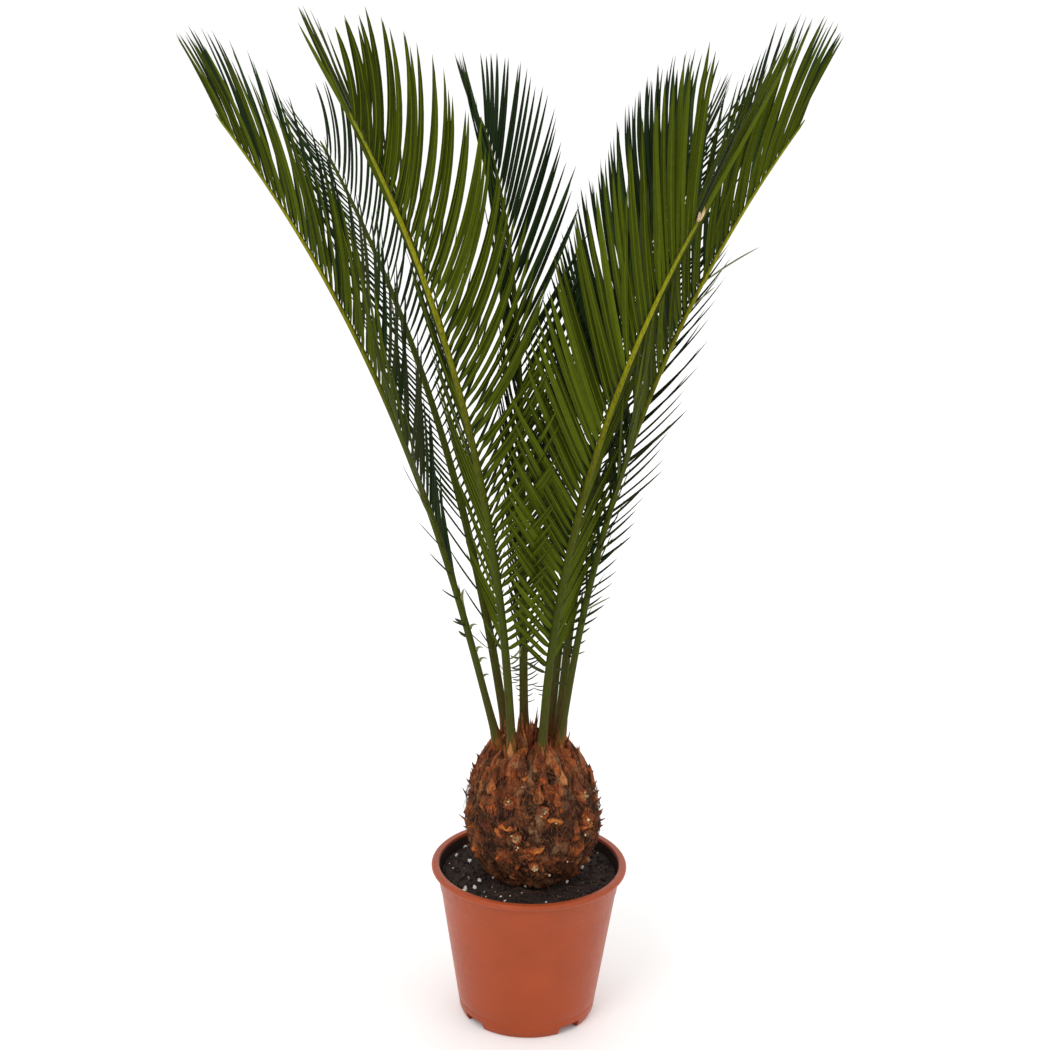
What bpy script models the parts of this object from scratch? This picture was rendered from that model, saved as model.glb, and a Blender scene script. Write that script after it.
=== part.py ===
"""Young sago palm with a ball-shaped trunk in a round plastic nursery pot.

Metres, +Z up. The origin is the centre of the pot's underside, where it stands.
The plant is seen from -Y in its usual picture, with +X to the right.
"""
import math
import random
from collections import namedtuple

import bmesh
import bpy
from mathutils import Vector
from mathutils.bvhtree import BVHTree

MM = 0.001
CLEARANCE = 0.3 * MM

# Pot
POT_HEIGHT = 141.5 * MM
RIM_RADIUS = 85.0 * MM
LIP_HEIGHT = 5.0 * MM
LIP_WIDTH = 6.6 * MM
WALL_FOOT_RADIUS = 59.9 * MM
WALL_TOP_RADIUS = 79.4 * MM
WALL_THICKNESS = 1.6 * MM
WALL_STEP_HEIGHT = 118.0 * MM
WALL_STEP = 0.5 * MM
FLOOR_UNDERSIDE = 8.0 * MM
FLOOR_THICKNESS = 2.0 * MM
FOOT_RADIUS = 57.4 * MM
FOOT_INNER_RADIUS = 50.0 * MM
FOOT_ROUNDING = 1.4 * MM
HUB_RADIUS = 15.0 * MM
POT_STEPS = 40
NOTCH_WIDTH = 21.5 * MM
NOTCH_HEIGHT = 7.6 * MM
NOTCH_DIRECTIONS = (39.5, 129.5, 219.5, 309.5)
DRAIN_HOLE_RADIUS = 4.0 * MM
DRAIN_HOLE_CIRCLE = 33.0 * MM

# Potting soil
SOIL_EDGE_HEIGHT = 129.0 * MM
SOIL_HEIGHT = 131.0 * MM
SOIL_SLOPE_WIDTH = 16.0 * MM

# Trunk, a ball of old leaf bases that stands on the soil
TRUNK_CENTRE = Vector((2.6 * MM, 0.0, 0.0))
TRUNK_TOP_SHIFT = Vector((-3.0 * MM, 0.0, 0.0))
TRUNK_FOOT = SOIL_HEIGHT + CLEARANCE
TRUNK_TOP = 252.0 * MM
TRUNK_RADIUS = 58.0 * MM
TRUNK_WIDEST_HEIGHT = 184.0 * MM
TRUNK_LOWER_REACH = 62.0 * MM
TRUNK_UPPER_REACH = 83.0 * MM
LEAF_BASES_ROUND = 16
LEAF_BASE_ROWS = 15
LEAF_BASE_INSET = 0.17
LEAF_BASE_PROUD = (1.0 * MM, 3.6 * MM)
LEAF_BASE_LIFT = 2.0 * MM
LEAF_BASE_MARGIN = 0.4 * MM

# Dry scales round the growing point
SCALE_COUNT = 9
SCALE_RING_RADIUS = 8.0 * MM
SCALE_LENGTH = (20.0 * MM, 34.0 * MM)
SCALE_RADIUS = 3.6 * MM
BUD_RADIUS = 11.0 * MM
BUD_HEIGHT = 16.0 * MM

# Fronds
FROND_FOOT = TRUNK_TOP + CLEARANCE
RIB_SIDES = 6
RIB_RINGS = 16
RIB_FLARE_RADIUS = 4.9 * MM
RIB_FLARE_LENGTH = 18.0 * MM
PETIOLE_RADIUS = 4.0 * MM
RIB_TIP_RADIUS = 1.0 * MM
PETIOLE_SHARE = 0.14
LAST_LEAFLET_SHARE = 0.985
LEAFLET_PAIRS = 36
LEAFLET_LONGEST = 150.0 * MM
LEAFLET_WIDTH = 7.6 * MM
LEAFLET_ROOT_SHARE = 0.7
LEAFLET_THICKNESS = 1.9 * MM
LEAFLET_BELLY = 0.42
LEAFLET_FORWARD_BEND = 8.0
LEAFLET_TWIST = 30.0
LEAFLET_GUARD = 0.6 * MM
LEAFLET_TRIMS = (1.0, 0.8, 0.6, 0.42)

Frond = namedtuple(
    "Frond", "name foot heading lean_foot lean_tip bend length turn keel low_keel leaf kept")
# foot: place on the trunk's top in mm; heading: degrees from +X towards +Y; leans: degrees
# from upright; bend: how late the lean grows; length of the rib in mm; turn: degrees that the
# blade is turned about the rib; keel: degrees that the leaflets rise from a flat blade; low_keel:
# share of the keel that the lowest leaflets have; leaf: size of its leaflets against the usual;
# kept: share of the whole frond where its tip is broken.
FRONDS = (
    Frond("frond_left", (-27.5, -4), 183, 13.5, 37.2, 1.5, 586, 0, 38, 0.1, 0.9, 1.0),
    Frond("frond_left_rear", (-21, 17), 134, 13, 44, 1.2, 550, -27, 18, 0.4, 0.8, 1.0),
    Frond("frond_left_front", (-16, -20), 225, 4, 33, 1.15, 590, 0, 34, 0.4, 1.06, 1.0),
    Frond("frond_rear", (-6, 22), 129, 2, 33, 4.4, 533, 0, 30, 0.4, 0.8, 1.0),
    Frond("frond_right_front", (9, -21), 315, 1.5, 32, 0.9, 510, 0, 34, 0.4, 1.12, 0.84),
    Frond("frond_rear_right", (16, 21), 47, 5, 33.5, 1.2, 530, 0, 30, 0.4, 0.9, 1.0),
    Frond("frond_right", (23.5, -4), 356, 6.5, 34.2, 1.3, 574, 0, 40, 0.2, 1.07, 1.0),
    Frond("frond_right_rear", (23, 12), 38, 4.5, 31, 1.3, 540, 28, 16, 0.4, 0.88, 1.0),
)


def clear_scene():
    for item in list(bpy.data.objects):
        bpy.data.objects.remove(item, do_unlink=True)


def make_material(name, colour, roughness, metallic=0.0):
    material = bpy.data.materials.new(name)
    material.use_nodes = True
    shader = material.node_tree.nodes["Principled BSDF"]
    shader.inputs["Base Color"].default_value = (*colour, 1.0)
    shader.inputs["Roughness"].default_value = roughness
    shader.inputs["Metallic"].default_value = metallic
    material.diffuse_color = (*colour, 1.0)
    return material


def add_object(name, bm, material, smooth_angle=None):
    bmesh.ops.recalc_face_normals(bm, faces=bm.faces)
    mesh = bpy.data.meshes.new(name)
    bm.to_mesh(mesh)
    bm.free()
    if material is not None:
        mesh.materials.append(material)
    if smooth_angle is not None:
        mesh.shade_smooth()
        mesh.set_sharp_from_angle(angle=math.radians(smooth_angle))
    item = bpy.data.objects.new(name, mesh)
    bpy.context.scene.collection.objects.link(item)
    return item


def turned_bmesh(profile, steps):
    """A closed profile of (radius, height) points, turned about the Z axis."""
    bm = bmesh.new()
    points = [bm.verts.new((radius, 0.0, height)) for radius, height in profile]
    edges = [bm.edges.new(pair) for pair in zip(points, points[1:])]
    bmesh.ops.spin(bm, geom=points + edges, axis=(0, 0, 1), cent=(0, 0, 0),
                   steps=steps, angle=math.tau, use_merge=True)
    bmesh.ops.remove_doubles(bm, verts=bm.verts, dist=0.00001)
    return bm


def pot_wall_radius(height):
    share = (height - FLOOR_UNDERSIDE) / (POT_HEIGHT - LIP_HEIGHT - FLOOR_UNDERSIDE)
    return WALL_FOOT_RADIUS + (WALL_TOP_RADIUS - WALL_FOOT_RADIUS) * share


def pot_profile():
    lip_bottom = POT_HEIGHT - LIP_HEIGHT
    floor_top = FLOOR_UNDERSIDE + FLOOR_THICKNESS
    step_radius = pot_wall_radius(WALL_STEP_HEIGHT)
    return (
        (0.0, 0.0),
        (HUB_RADIUS, 0.0),
        (HUB_RADIUS, FLOOR_UNDERSIDE),
        (FOOT_INNER_RADIUS, FLOOR_UNDERSIDE),
        (FOOT_INNER_RADIUS, 0.0),
        (FOOT_RADIUS, 0.0),
        (FOOT_RADIUS + FOOT_ROUNDING, FOOT_ROUNDING),
        (WALL_FOOT_RADIUS, FLOOR_UNDERSIDE),
        (step_radius, WALL_STEP_HEIGHT - WALL_STEP),
        (step_radius + WALL_STEP, WALL_STEP_HEIGHT),
        (WALL_TOP_RADIUS + WALL_STEP, lip_bottom),
        (RIM_RADIUS - 0.6 * MM, lip_bottom),
        (RIM_RADIUS, lip_bottom + 1.2 * MM),
        (RIM_RADIUS, POT_HEIGHT - 1.4 * MM),
        (RIM_RADIUS - 1.2 * MM, POT_HEIGHT),
        (RIM_RADIUS - LIP_WIDTH + 0.8 * MM, POT_HEIGHT),
        (RIM_RADIUS - LIP_WIDTH, POT_HEIGHT - 0.8 * MM),
        (pot_wall_radius(lip_bottom) - WALL_THICKNESS, lip_bottom - 0.6 * MM),
        (pot_wall_radius(floor_top) - WALL_THICKNESS, floor_top),
        (0.0, floor_top),
    )


def add_cutter(name, bm, target):
    cutter = add_object(name, bm, None)
    cutter.hide_render = True
    cutter.display_type = "WIRE"
    cut = target.modifiers.new(name, "BOOLEAN")
    cut.operation = "DIFFERENCE"
    cut.object = cutter
    return cutter


def add_pot():
    material = make_material("terracotta coloured polypropylene", (0.55, 0.16, 0.07), 0.4)
    pot = add_object("pot", turned_bmesh(pot_profile(), POT_STEPS), material, 30)
    notch_length = 26.0 * MM
    for number, direction in enumerate(NOTCH_DIRECTIONS, start=1):
        bm = bmesh.new()
        bmesh.ops.create_cube(bm, size=1.0)
        bmesh.ops.scale(bm, vec=(notch_length, NOTCH_WIDTH, 2 * NOTCH_HEIGHT), verts=bm.verts)
        cutter = add_cutter(f"foot_notch_{number}", bm, pot)
        angle = math.radians(direction)
        cutter.location = Vector((math.cos(angle), math.sin(angle), 0.0)) * FOOT_INNER_RADIUS
        cutter.rotation_euler.z = angle
    for number, direction in enumerate(NOTCH_DIRECTIONS, start=1):
        bm = bmesh.new()
        bmesh.ops.create_cone(bm, cap_ends=True, segments=10, radius1=DRAIN_HOLE_RADIUS,
                              radius2=DRAIN_HOLE_RADIUS, depth=4 * FLOOR_THICKNESS)
        cutter = add_cutter(f"drain_hole_{number}", bm, pot)
        angle = math.radians(direction)
        cutter.location = Vector((math.cos(angle), math.sin(angle), 0.0)) * DRAIN_HOLE_CIRCLE
        cutter.location.z = FLOOR_UNDERSIDE + FLOOR_THICKNESS / 2
    return pot


def add_soil():
    material = make_material("peat potting soil", (0.02, 0.014, 0.011), 0.95)
    floor = FLOOR_UNDERSIDE + FLOOR_THICKNESS + CLEARANCE
    inset = WALL_THICKNESS + 1.5 * CLEARANCE
    edge_radius = pot_wall_radius(SOIL_EDGE_HEIGHT) - inset
    profile = (
        (0.0, floor),
        (pot_wall_radius(floor) - inset, floor),
        (edge_radius, SOIL_EDGE_HEIGHT),
        (edge_radius - SOIL_SLOPE_WIDTH, SOIL_HEIGHT),
        (0.0, SOIL_HEIGHT),
    )
    return add_object("soil", turned_bmesh(profile, POT_STEPS), material, 30)


def trunk_radius(height):
    """Radius of the ball of leaf bases, full below and drawn up to the crown."""
    rise = height - TRUNK_WIDEST_HEIGHT
    reach = TRUNK_UPPER_REACH if rise > 0 else TRUNK_LOWER_REACH
    return TRUNK_RADIUS * math.sqrt(1.0 - (rise / reach) ** 2)


def trunk_centre(height):
    """Centre of the ball at a height; its top stands a little to the left."""
    share = max(0.0, (height - TRUNK_WIDEST_HEIGHT) / (TRUNK_TOP - TRUNK_WIDEST_HEIGHT))
    return TRUNK_CENTRE + TRUNK_TOP_SHIFT * share + Vector((0.0, 0.0, height))


def trunk_row_heights():
    """Heights of the rows of leaf bases, even along the ball's side."""
    samples = 200
    step = (TRUNK_TOP - TRUNK_FOOT) / samples
    heights = [TRUNK_FOOT + step * number for number in range(samples + 1)]
    run = [0.0]
    for low, high in zip(heights, heights[1:]):
        run.append(run[-1] + math.hypot(high - low, trunk_radius(high) - trunk_radius(low)))
    rows = []
    for row in range(LEAF_BASE_ROWS + 1):
        goal = run[-1] * row / LEAF_BASE_ROWS
        number = min(range(len(run)), key=lambda index: abs(run[index] - goal))
        rows.append(heights[number])
    return rows


def trunk_lattice(bm):
    """Rows of points, each half a step round from the last, and the diamonds between them."""
    rings = []
    for row, height in enumerate(trunk_row_heights()):
        ring = []
        for number in range(LEAF_BASES_ROUND):
            angle = math.tau * (number + 0.5 * (row % 2)) / LEAF_BASES_ROUND
            radius = trunk_radius(height)
            place = Vector((math.cos(angle), math.sin(angle), 0.0)) * radius
            ring.append(bm.verts.new(trunk_centre(height) + place))
        rings.append(ring)
    diamonds = []
    for row in range(LEAF_BASE_ROWS - 1):
        low, middle, high = rings[row:row + 3]
        for number in range(LEAF_BASES_ROUND):
            left = middle[(number - 1 + row % 2) % LEAF_BASES_ROUND]
            right = middle[(number + row % 2) % LEAF_BASES_ROUND]
            diamonds.append(bm.faces.new((low[number], right, high[number], left)))
    for end, inner in ((rings[0], rings[1]), (rings[-1], rings[-2])):
        shift = 1 if end is rings[-1] and LEAF_BASE_ROWS % 2 else 0
        for number in range(LEAF_BASES_ROUND):
            following = end[(number + 1) % LEAF_BASES_ROUND]
            bm.faces.new((end[number], following, inner[(number + shift) % LEAF_BASES_ROUND]))
        bm.faces.new(end)
    return diamonds


def add_trunk():
    material = make_material("cut leaf bases and brown fibre", (0.17, 0.075, 0.035), 0.9)
    picker = random.Random(7)
    bm = bmesh.new()
    diamonds = trunk_lattice(bm)
    bmesh.ops.recalc_face_normals(bm, faces=bm.faces)
    bm.normal_update()
    for face in diamonds:
        size = math.sqrt(face.calc_area())
        proud = picker.uniform(*LEAF_BASE_PROUD)
        bmesh.ops.inset_individual(bm, faces=[face], thickness=LEAF_BASE_INSET * size, depth=proud)
        lift = LEAF_BASE_LIFT * picker.uniform(0.4, 1.0)
        bmesh.ops.translate(bm, vec=(0.0, 0.0, lift), verts=face.verts)
        for vertex in face.verts:
            inside = min(vertex.co.z, TRUNK_TOP - LEAF_BASE_MARGIN)
            vertex.co.z = max(inside, TRUNK_FOOT + LEAF_BASE_MARGIN)
    bmesh.ops.triangulate(bm, faces=bm.faces)
    return add_object("trunk", bm, material)


def spike_bmesh(foot, tip, radius, sides=4):
    """A closed pointed spike from a ring round its foot to its tip."""
    bm = bmesh.new()
    along = (tip - foot).normalized()
    across = along.cross(Vector((0.3, 0.9, 0.1))).normalized()
    other = along.cross(across)
    ring = []
    for number in range(sides):
        angle = math.tau * number / sides
        ring.append(bm.verts.new(foot + (across * math.cos(angle) + other * math.sin(angle)) * radius))
    point = bm.verts.new(tip)
    bm.faces.new(ring)
    for number in range(sides):
        bm.faces.new((ring[number], ring[(number + 1) % sides], point))
    return bm


def keep_largest_body(mesh):
    """Drops loose scraps and the faces of sealed hollows that a union leaves."""
    bm = bmesh.new()
    bm.from_mesh(mesh)
    left = set(bm.faces)
    bodies = []
    while left:
        body = [left.pop()]
        for face in body:
            for edge in face.edges:
                for near in edge.link_faces:
                    if near in left:
                        left.remove(near)
                        body.append(near)
        bodies.append(body)
    largest = max(bodies, key=len)
    spare = [face for body in bodies if body is not largest for face in body]
    bmesh.ops.delete(bm, geom=spare, context="FACES")
    bm.to_mesh(mesh)
    bm.free()


def fuse(item, pieces, solver="EXACT"):
    """Joins pieces to item by one union on a collection, and removes them."""
    group = bpy.data.collections.new(item.name + "_pieces")
    for piece in pieces:
        group.objects.link(piece)
    union = item.modifiers.new("union", "BOOLEAN")
    union.operation = "UNION"
    union.operand_type = "COLLECTION"
    union.collection = group
    union.solver = solver
    bpy.context.view_layer.update()
    evaluated = item.evaluated_get(bpy.context.evaluated_depsgraph_get())
    mesh = bpy.data.meshes.new_from_object(evaluated)
    item.modifiers.clear()
    item.data = mesh
    for piece in pieces:
        bpy.data.objects.remove(piece, do_unlink=True)
    bpy.data.collections.remove(group)
    keep_largest_body(mesh)


def add_crown_scales():
    material = make_material("dry brown bud scales", (0.2, 0.07, 0.03), 0.85)
    picker = random.Random(21)
    base = trunk_centre(TRUNK_TOP) + Vector((0.0, 0.0, CLEARANCE))
    bm = bmesh.new()
    bmesh.ops.create_cone(bm, cap_ends=True, segments=10, radius1=BUD_RADIUS,
                          radius2=0.3 * BUD_RADIUS, depth=BUD_HEIGHT)
    bmesh.ops.translate(bm, vec=base + Vector((0.0, 0.0, BUD_HEIGHT / 2)), verts=bm.verts)
    bud = add_object("crown_scales", bm, material)
    pieces = []
    for number in range(SCALE_COUNT):
        angle = math.tau * number / SCALE_COUNT
        out = Vector((math.cos(angle), math.sin(angle), 0.0))
        ring = SCALE_RING_RADIUS * picker.uniform(0.35, 0.85)
        foot = base + out * ring + Vector((0.0, 0.0, 2.0 * MM))
        length = picker.uniform(*SCALE_LENGTH)
        tip = foot + out * picker.uniform(-1.0, 2.0) * MM + Vector((0.0, 0.0, length))
        pieces.append(add_object(f"scale_{number}", spike_bmesh(foot, tip, SCALE_RADIUS), None))
    fuse(bud, pieces)
    return bud


def rib_direction(frond, share):
    lean = frond.lean_foot + (frond.lean_tip - frond.lean_foot) * share ** frond.bend
    lean = math.radians(lean)
    heading = math.radians(frond.heading)
    return Vector((math.sin(lean) * math.cos(heading), math.sin(lean) * math.sin(heading), math.cos(lean)))


def rib_points(frond, count):
    """Points along the rib, from the trunk's top to the rib's tip."""
    small_steps = 10
    step = frond.length * MM / (count * small_steps)
    place = Vector((frond.foot[0] * MM, frond.foot[1] * MM, FROND_FOOT))
    points = [place.copy()]
    for number in range(count * small_steps):
        place = place + rib_direction(frond, (number + 0.5) / (count * small_steps)) * step
        if (number + 1) % small_steps == 0:
            points.append(place.copy())
    return points


def rib_frame(frond, share):
    """Direction along the rib, across the blade, and out of its upper face."""
    along = rib_direction(frond, share)
    heading = math.radians(frond.heading)
    across = Vector((-math.sin(heading), math.cos(heading), 0.0))
    turn = math.radians(frond.turn) * min(1.0, share / 0.5)
    upper = across.cross(along)
    if upper.dot(Vector((math.cos(heading), math.sin(heading), 0.0))) > 0:
        upper.negate()
    turned_across = across * math.cos(turn) + along.cross(across) * math.sin(turn)
    turned_upper = upper * math.cos(turn) + along.cross(upper) * math.sin(turn)
    return along, turned_across.normalized(), turned_upper.normalized()


def rib_radius(frond, share):
    run = share * frond.length * MM
    flare = (RIB_FLARE_RADIUS - PETIOLE_RADIUS) * max(0.0, 1.0 - run / RIB_FLARE_LENGTH) ** 2
    taper = RIB_TIP_RADIUS + (PETIOLE_RADIUS - RIB_TIP_RADIUS) * (1.0 - share ** 1.25)
    return flare + taper


def rib_bmesh(frond):
    bm = bmesh.new()
    rings = []
    for number, place in enumerate(rib_points(frond, RIB_RINGS)):
        share = number / RIB_RINGS
        along, across, upper = rib_frame(frond, share)
        if number == 0:
            across = Vector((across.x, across.y, 0.0)).normalized()
            upper = Vector((0.0, 0.0, 1.0)).cross(across)
        ring = []
        for side in range(RIB_SIDES):
            angle = math.tau * (side + 0.5) / RIB_SIDES
            offset = across * math.cos(angle) + upper * math.sin(angle)
            ring.append(bm.verts.new(place + offset * rib_radius(frond, share)))
        rings.append(ring)
    for low, high in zip(rings, rings[1:]):
        for side in range(RIB_SIDES):
            after = (side + 1) % RIB_SIDES
            bm.faces.new((low[side], low[after], high[after], high[side]))
    bm.faces.new(rings[0])
    bm.faces.new(rings[-1])
    return bm


def leaflet_length(frond, share):
    """Length of a leaflet at a share of the leafy part, from its foot to its tip."""
    grown = 0.14 + 0.86 * math.sin(0.5 * math.pi * min(1.0, share / 0.62)) ** 0.9
    drawn_in = 0.54 * max(0.0, (share - 0.78) / 0.22) ** 2
    return LEAFLET_LONGEST * frond.leaf * (grown - drawn_in)


def leaflet_forward_angle(share):
    """Angle between a leaflet's root and the rib, in degrees."""
    return 60.0 - 38.0 * share ** 0.75 - 5.0 * share ** 12


def leaflet_pairs(frond):
    return round(LEAFLET_PAIRS * frond.kept)


def leaflet_keel(frond, share):
    return frond.keel * (frond.low_keel + (1.0 - frond.low_keel) * min(1.0, share / 0.5))


def leaflet_bmesh(frond, share, place, rib_share, side, trim, grow):
    """A pointed three-sided blade of two lengths, its root inside the rib."""
    along, across, upper = rib_frame(frond, rib_share)
    keel = math.radians(leaflet_keel(frond, share))
    outward = across * (math.cos(keel) * side) + upper * math.sin(keel)
    plane = along.cross(outward)
    length = leaflet_length(frond, share) * trim
    spacing = frond.length * MM * (1.0 - PETIOLE_SHARE) / leaflet_pairs(frond)
    forward = math.radians(leaflet_forward_angle(share))
    bent = forward - math.radians(LEAFLET_FORWARD_BEND)
    width = min(LEAFLET_WIDTH, 0.95 * spacing * math.sin(bent) + 1.2 * MM, 0.09 * length + 2 * MM)
    belly_run = LEAFLET_BELLY * length
    bm = bmesh.new()
    rings = []
    root_width = LEAFLET_ROOT_SHARE * rib_radius(frond, rib_share)
    direction = along * math.cos(forward) + outward * math.sin(forward)
    flat = outward * math.cos(forward) - along * math.sin(forward)
    twist = math.radians(LEAFLET_TWIST)
    flat = flat * math.cos(twist) + plane * (math.sin(twist) * side)
    thick = direction.cross(flat)
    for ring_place, ring_width in ((place, root_width), (place + direction * belly_run, width)):
        half_width = 0.5 * ring_width + grow
        half_depth = 0.5 * LEAFLET_THICKNESS * ring_width / LEAFLET_WIDTH + grow
        rings.append([bm.verts.new(ring_place + flat * half_width - thick * half_depth),
                      bm.verts.new(ring_place - flat * half_width - thick * half_depth),
                      bm.verts.new(ring_place + thick * half_depth)])
    tip_direction = along * math.cos(bent) + outward * math.sin(bent)
    tip_place = place + direction * belly_run + tip_direction * (length - belly_run)
    tip = bm.verts.new(tip_place)
    root, belly = rings
    bm.faces.new(root)
    for number in range(3):
        after = (number + 1) % 3
        bm.faces.new((root[number], root[after], belly[after], belly[number]))
        bm.faces.new((belly[number], belly[after], tip))
    bmesh.ops.recalc_face_normals(bm, faces=bm.faces)
    return bm


def grow_leaflets(frond, limbs, guards):
    """Leaflets on both sides of a rib; one that would touch another frond is trimmed or left out."""
    points = rib_points(frond, 240)
    pieces = []
    own_guards = []
    pairs = leaflet_pairs(frond)
    for pair in range(pairs):
        for side in (1, -1):
            run = (pair + 0.25 + 0.25 * side) / (pairs - 0.5)
            share = run * frond.kept
            rib_share = PETIOLE_SHARE + (LAST_LEAFLET_SHARE - PETIOLE_SHARE) * run
            place = points[min(240, round(rib_share * 240))]
            for trim in LEAFLET_TRIMS:
                blade = leaflet_bmesh(frond, share, place, rib_share, side, trim, 0.0)
                tree = BVHTree.FromBMesh(blade)
                if not any(tree.overlap(other) for other in limbs + guards):
                    pieces.append(add_object(f"leaflet_{pair}_{side}", blade, None))
                    guard = leaflet_bmesh(frond, share, place, rib_share, side, trim, LEAFLET_GUARD)
                    own_guards.append(BVHTree.FromBMesh(guard))
                    guard.free()
                    break
                blade.free()
    return pieces, own_guards


def guard_of_rib(frond):
    """The rib, a little thicker than it is, for the clearance test."""
    bm = rib_bmesh(frond)
    bmesh.ops.recalc_face_normals(bm, faces=bm.faces)
    bm.normal_update()
    for vertex in bm.verts:
        vertex.co += vertex.normal * LEAFLET_GUARD
    tree = BVHTree.FromBMesh(bm)
    bm.free()
    return tree


def add_fronds():
    lit_leaf = make_material("mid green cycad leaf", (0.07, 0.13, 0.015), 0.45)
    dark_leaf = make_material("dark green cycad leaf", (0.03, 0.08, 0.02), 0.45)
    rib_guards = {frond.name: guard_of_rib(frond) for frond in FRONDS}
    guards = []
    for frond in FRONDS:
        material = dark_leaf if "rear" in frond.name else lit_leaf
        limbs = [tree for name, tree in rib_guards.items() if name != frond.name]
        pieces, own_guards = grow_leaflets(frond, limbs, guards)
        guards.extend(own_guards)
        item = add_object(frond.name, rib_bmesh(frond), material)
        fuse(item, pieces)


def main():
    clear_scene()
    add_pot()
    add_soil()
    add_trunk()
    add_crown_scales()
    add_fronds()


main()
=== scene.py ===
"""Dresses a young sago palm in its round plastic nursery pot.

Metres, +Z up, origin at the centre of the pot's underside, usual view from -Y.
The plant's solids come from the packed frame; every one of them is replaced by a
finer piece that grows by the same rule and within the same reach.
"""

import math
import random
from collections import namedtuple

import bmesh
import bpy
import numpy as np
from bpy.props import FloatProperty, FloatVectorProperty, IntProperty, PointerProperty
from mathutils import Matrix, Vector, noise


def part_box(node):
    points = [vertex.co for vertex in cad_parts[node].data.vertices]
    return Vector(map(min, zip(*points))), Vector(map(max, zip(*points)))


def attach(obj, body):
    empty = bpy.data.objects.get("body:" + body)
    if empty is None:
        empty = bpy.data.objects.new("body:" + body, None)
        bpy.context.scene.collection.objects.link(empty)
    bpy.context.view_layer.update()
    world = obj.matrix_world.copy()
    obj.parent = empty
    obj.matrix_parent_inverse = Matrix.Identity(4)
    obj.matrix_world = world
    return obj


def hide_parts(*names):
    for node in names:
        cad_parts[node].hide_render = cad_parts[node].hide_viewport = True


bl_info = {
    "name": "Potted Sago Palm",
    "version": (1, 0, 0),
    "blender": (4, 5, 0),
    "location": "View3D > Sidebar > Sago Palm",
    "description": "Adds a young sago palm in a plastic nursery pot",
    "category": "Add Mesh",
}

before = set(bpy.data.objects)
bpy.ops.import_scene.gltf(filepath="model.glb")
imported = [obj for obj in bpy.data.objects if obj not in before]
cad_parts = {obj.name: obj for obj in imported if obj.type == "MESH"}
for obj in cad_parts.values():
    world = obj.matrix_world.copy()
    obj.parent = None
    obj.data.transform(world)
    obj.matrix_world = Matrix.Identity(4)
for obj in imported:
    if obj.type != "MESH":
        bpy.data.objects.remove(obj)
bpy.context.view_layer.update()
POT_LOW, POT_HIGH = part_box("pot")
SOIL_LOW, SOIL_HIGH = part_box("soil")
TRUNK_LOW, TRUNK_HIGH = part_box("trunk")

MM = 0.001
UP = Vector((0.0, 0.0, 1.0))


def linear_colour(text):
    """Linear red, green and blue of an sRGB hex value such as #7A3E16."""
    channels = []
    for start in (1, 3, 5):
        value = int(text[start:start + 2], 16) / 255.0
        channels.append(value / 12.92 if value <= 0.04045 else ((value + 0.055) / 1.055) ** 2.4)
    return tuple(channels)


# Sizes and colours that a user may change


class PotSettings(bpy.types.PropertyGroup):
    """Round tapered nursery pot."""

    wall: FloatProperty(name="Wall", description="Thickness of the pot's wall",
                        default=1.6 * MM, min=0.8 * MM, max=3.0 * MM, unit="LENGTH")
    lip_height: FloatProperty(name="Lip height", description="Height of the rolled lip",
                              default=5.6 * MM, min=3.0 * MM, max=9.0 * MM, unit="LENGTH")
    plastic: FloatVectorProperty(name="Plastic", description="Colour of the pot's plastic",
                                 default=linear_colour("#9A3E13"), size=3, min=0.0, max=1.0,
                                 subtype="COLOR")


class SoilSettings(bpy.types.PropertyGroup):
    """Peat potting soil with perlite."""

    roughness: FloatProperty(name="Lumpiness", description="Height of the soil's lumps",
                             default=2.2 * MM, min=0.0, max=4.0 * MM, unit="LENGTH")
    crumbs: IntProperty(name="Crumbs", description="Number of loose peat crumbs",
                        default=1300, min=0, max=3000)
    grains: IntProperty(name="Perlite", description="Number of white perlite grains",
                        default=85, min=0, max=400)
    peat: FloatVectorProperty(name="Peat", description="Colour of the damp peat",
                              default=linear_colour("#2E211B"), size=3, min=0.0, max=1.0,
                              subtype="COLOR")


class TrunkSettings(bpy.types.PropertyGroup):
    """Ball-shaped trunk of old leaf bases."""

    bases_round: IntProperty(name="Leaf bases round", description="Leaf bases in one row",
                             default=16, min=10, max=24)
    rows: IntProperty(name="Rows", description="Rows of leaf bases from soil to crown",
                      default=15, min=8, max=22)
    fibres: IntProperty(name="Fibres", description="Number of loose fibres on the trunk",
                        default=6000, min=0, max=9000)
    fibre_colour: FloatVectorProperty(name="Fibre", description="Colour of the trunk's fibre",
                                      default=linear_colour("#603A20"), size=3, min=0.0,
                                      max=1.0, subtype="COLOR")


class FrondSettings(bpy.types.PropertyGroup):
    """Feathery fronds of the crown."""

    pairs: IntProperty(name="Leaflet pairs", description="Pairs of leaflets on a whole frond",
                       default=60, min=20, max=90)
    width: FloatProperty(name="Leaflet width", description="Width of the widest leaflets",
                         default=5.3 * MM, min=3.0 * MM, max=9.0 * MM, unit="LENGTH")
    curve: FloatProperty(name="Leaflet curve", description="How far a leaflet bends forward",
                         default=math.radians(21.0), min=0.0, max=1.2, subtype="ANGLE")
    face_colour: FloatVectorProperty(name="Upper face", description="Colour of the glossy side",
                                     default=linear_colour("#1D2B12"), size=3, min=0.0,
                                     max=1.0, subtype="COLOR")
    back_colour: FloatVectorProperty(name="Lower face", description="Colour of the matt side",
                                     default=linear_colour("#414B07"), size=3, min=0.0,
                                     max=1.0, subtype="COLOR")


# Names of things


def settings_of(context, name):
    return getattr(context.scene, "sago_" + name)


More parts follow.
